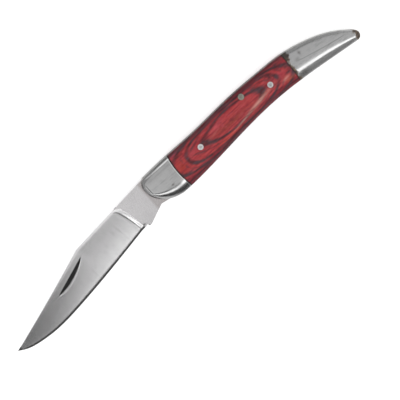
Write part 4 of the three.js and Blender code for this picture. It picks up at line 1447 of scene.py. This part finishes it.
def add_cards(studio):
    """Cards over and beside the knife: their brightness and edges give the metal its shading."""
    far, level = studio.card_reach, studio.card_height
    lower_level = level - PLUNGE_CARD_DROP
    over, lower = (level, level), (lower_level, lower_level)
    on_floor, standing = (CARD_FLOOR, CARD_FLOOR), (0, level)
    blade, middle = (TIP_CARD_X, NOSE_CARD_X), (NOSE_CARD_X, TAIL_CARD_X)
    tail, to_tail = (TAIL_CARD_X, far), (-far, TAIL_CARD_X)
    belly_wall, back_wall = (STREAK_END_Y, STREAK_END_Y), (FAR_BACK_Y, FAR_BACK_Y)
    belly_floor, back_floor = (STREAK_END_Y, BELLY_FLOOR_Y), (BACK_FLOOR_Y, FAR_BACK_Y)
    wood_front, wood_rear = SCALE_FRONT_X * MM, SCALE_REAR_X * MM
    cards = (
        ("tip_card", 0.14, (-far, TIP_CARD_X), (STREAK_Y, BACK_Y), over),
        ("blade_card", 1.55, blade, (SPINE_CARD_Y, BACK_Y), over),
        ("blade_spine_card", 0.15, blade, (STREAK_Y, SPINE_CARD_Y), over),
        ("ceiling_card", 1.0, (NOSE_CARD_X, far), (TAIL_STREAK_Y, BACK_Y), over),
        ("belly_side_card", 0.8, middle, (BELLY_STREAK_Y, TAIL_STREAK_Y), over),
        ("streak_card", studio.streak * 1.4, (-far, NOSE_CARD_X), (STREAK_END_Y, STREAK_Y), over),
        ("belly_streak_card", studio.streak * 0.8, middle, (STREAK_END_Y, BELLY_STREAK_Y), over),
        ("tail_streak_card", studio.streak * 1.7, tail, (TAIL_DARK_Y, TAIL_STREAK_Y), over),
        ("tail_dark_card", 0.35, tail, (STREAK_END_Y, TAIL_DARK_Y), over),
        ("plunge_card", studio.streak, PLUNGE_CARD_X, PLUNGE_CARD_Y, lower),
        ("belly_card", 0.1, to_tail, belly_wall, standing),
        ("belly_tail_card", 0.6, tail, belly_wall, standing),
        ("belly_floor_card", 0.1, to_tail, belly_floor, on_floor),
        ("belly_tail_floor_card", 0.5, tail, belly_floor, on_floor),
        ("back_card", 0.25, (-far, far), back_wall, (0, BACK_CARD_HEIGHT)),
        # Dark cards on the floor behind the knife, seen only in reflections: painted shadow of the floor
        # beside it
        ("back_floor_front_card", 0.65, (-far, wood_front), back_floor, on_floor),
        ("back_floor_wood_card", 0.3, (wood_front, wood_rear), back_floor, on_floor),
        ("back_floor_rear_card", 0.8, (wood_rear, far), back_floor, on_floor),
    )
    for card in cards:
        add_card(*card)


def add_camera(studio):
    """Camera over the knife, turned so that the tail points up and to the right."""
    data = bpy.data.cameras.new("camera")
    data.lens, data.sensor_width = studio.lens, SENSOR
    data.clip_start, data.clip_end = CLIP_NEAR, CLIP_FAR
    camera = new_object("camera", data)
    spin = Vector(KNIFE_DIRECTION).normalized()
    along = Vector((1, 0, 0))
    lean = Vector((0, math.cos(studio.tilt), -math.sin(studio.tilt)))
    toward = Vector((0, math.sin(studio.tilt), math.cos(studio.tilt)))
    right, up = along * spin.x - lean * spin.y, along * spin.y + lean * spin.x
    middle_x, middle_y = VIEW_MIDDLE
    target = PIVOT + (along * middle_x + lean * middle_y) * MM
    view_width = PHOTO_PIXELS / PIXELS_PER_MM * MM
    distance = view_width * studio.lens / SENSOR + SCALE_HEIGHT * MM
    turn = Matrix((right, up, toward)).transposed().to_4x4()
    camera.matrix_world = Matrix.Translation(target + toward * distance) @ turn
    bpy.context.scene.camera = camera


class KNIFE_PT_panel(bpy.types.Panel):
    """Sizes, finishes and pieces of the knife"""
    bl_idname = "KNIFE_PT_panel"
    bl_label = "Knife"
    bl_space_type = "VIEW_3D"
    bl_region_type = "UI"
    bl_category = "Knife"

    def draw(self, context):
        layout, scene = self.layout, context.scene
        groups = (("Sizes", scene.knife_shape), ("Finishes", scene.knife_finish),
                  ("Studio", scene.knife_studio))
        for title, settings in groups:
            box = layout.box()
            box.label(text=title)
            for key in settings.__annotations__:
                box.prop(settings, key)
        for operator in OPERATORS:
            layout.operator(operator.bl_idname)


OPERATORS = (KNIFE_OT_bolsters, KNIFE_OT_scales, KNIFE_OT_pins, KNIFE_OT_spring_and_liners,
             KNIFE_OT_blade, KNIFE_OT_stage)
CLASSES = (KnifeShapeSettings, KnifeFinishSettings, KnifeStudioSettings, *OPERATORS, KNIFE_PT_panel)


def register():
    for cls in CLASSES:
        bpy.utils.register_class(cls)
    bpy.types.Scene.knife_shape = PointerProperty(type=KnifeShapeSettings)
    bpy.types.Scene.knife_finish = PointerProperty(type=KnifeFinishSettings)
    bpy.types.Scene.knife_studio = PointerProperty(type=KnifeStudioSettings)


def unregister():
    del bpy.types.Scene.knife_shape
    del bpy.types.Scene.knife_finish
    del bpy.types.Scene.knife_studio
    for cls in reversed(CLASSES):
        bpy.utils.unregister_class(cls)


def main():
    register()
    bpy.context.scene.view_settings.view_transform = "Standard"
    bpy.ops.knife.bolsters()
    bpy.ops.knife.scales()
    bpy.ops.knife.pins()
    bpy.ops.knife.spring_and_liners()
    bpy.ops.knife.blade()
    bpy.ops.knife.stage()


if __name__ == "__main__":
    main()
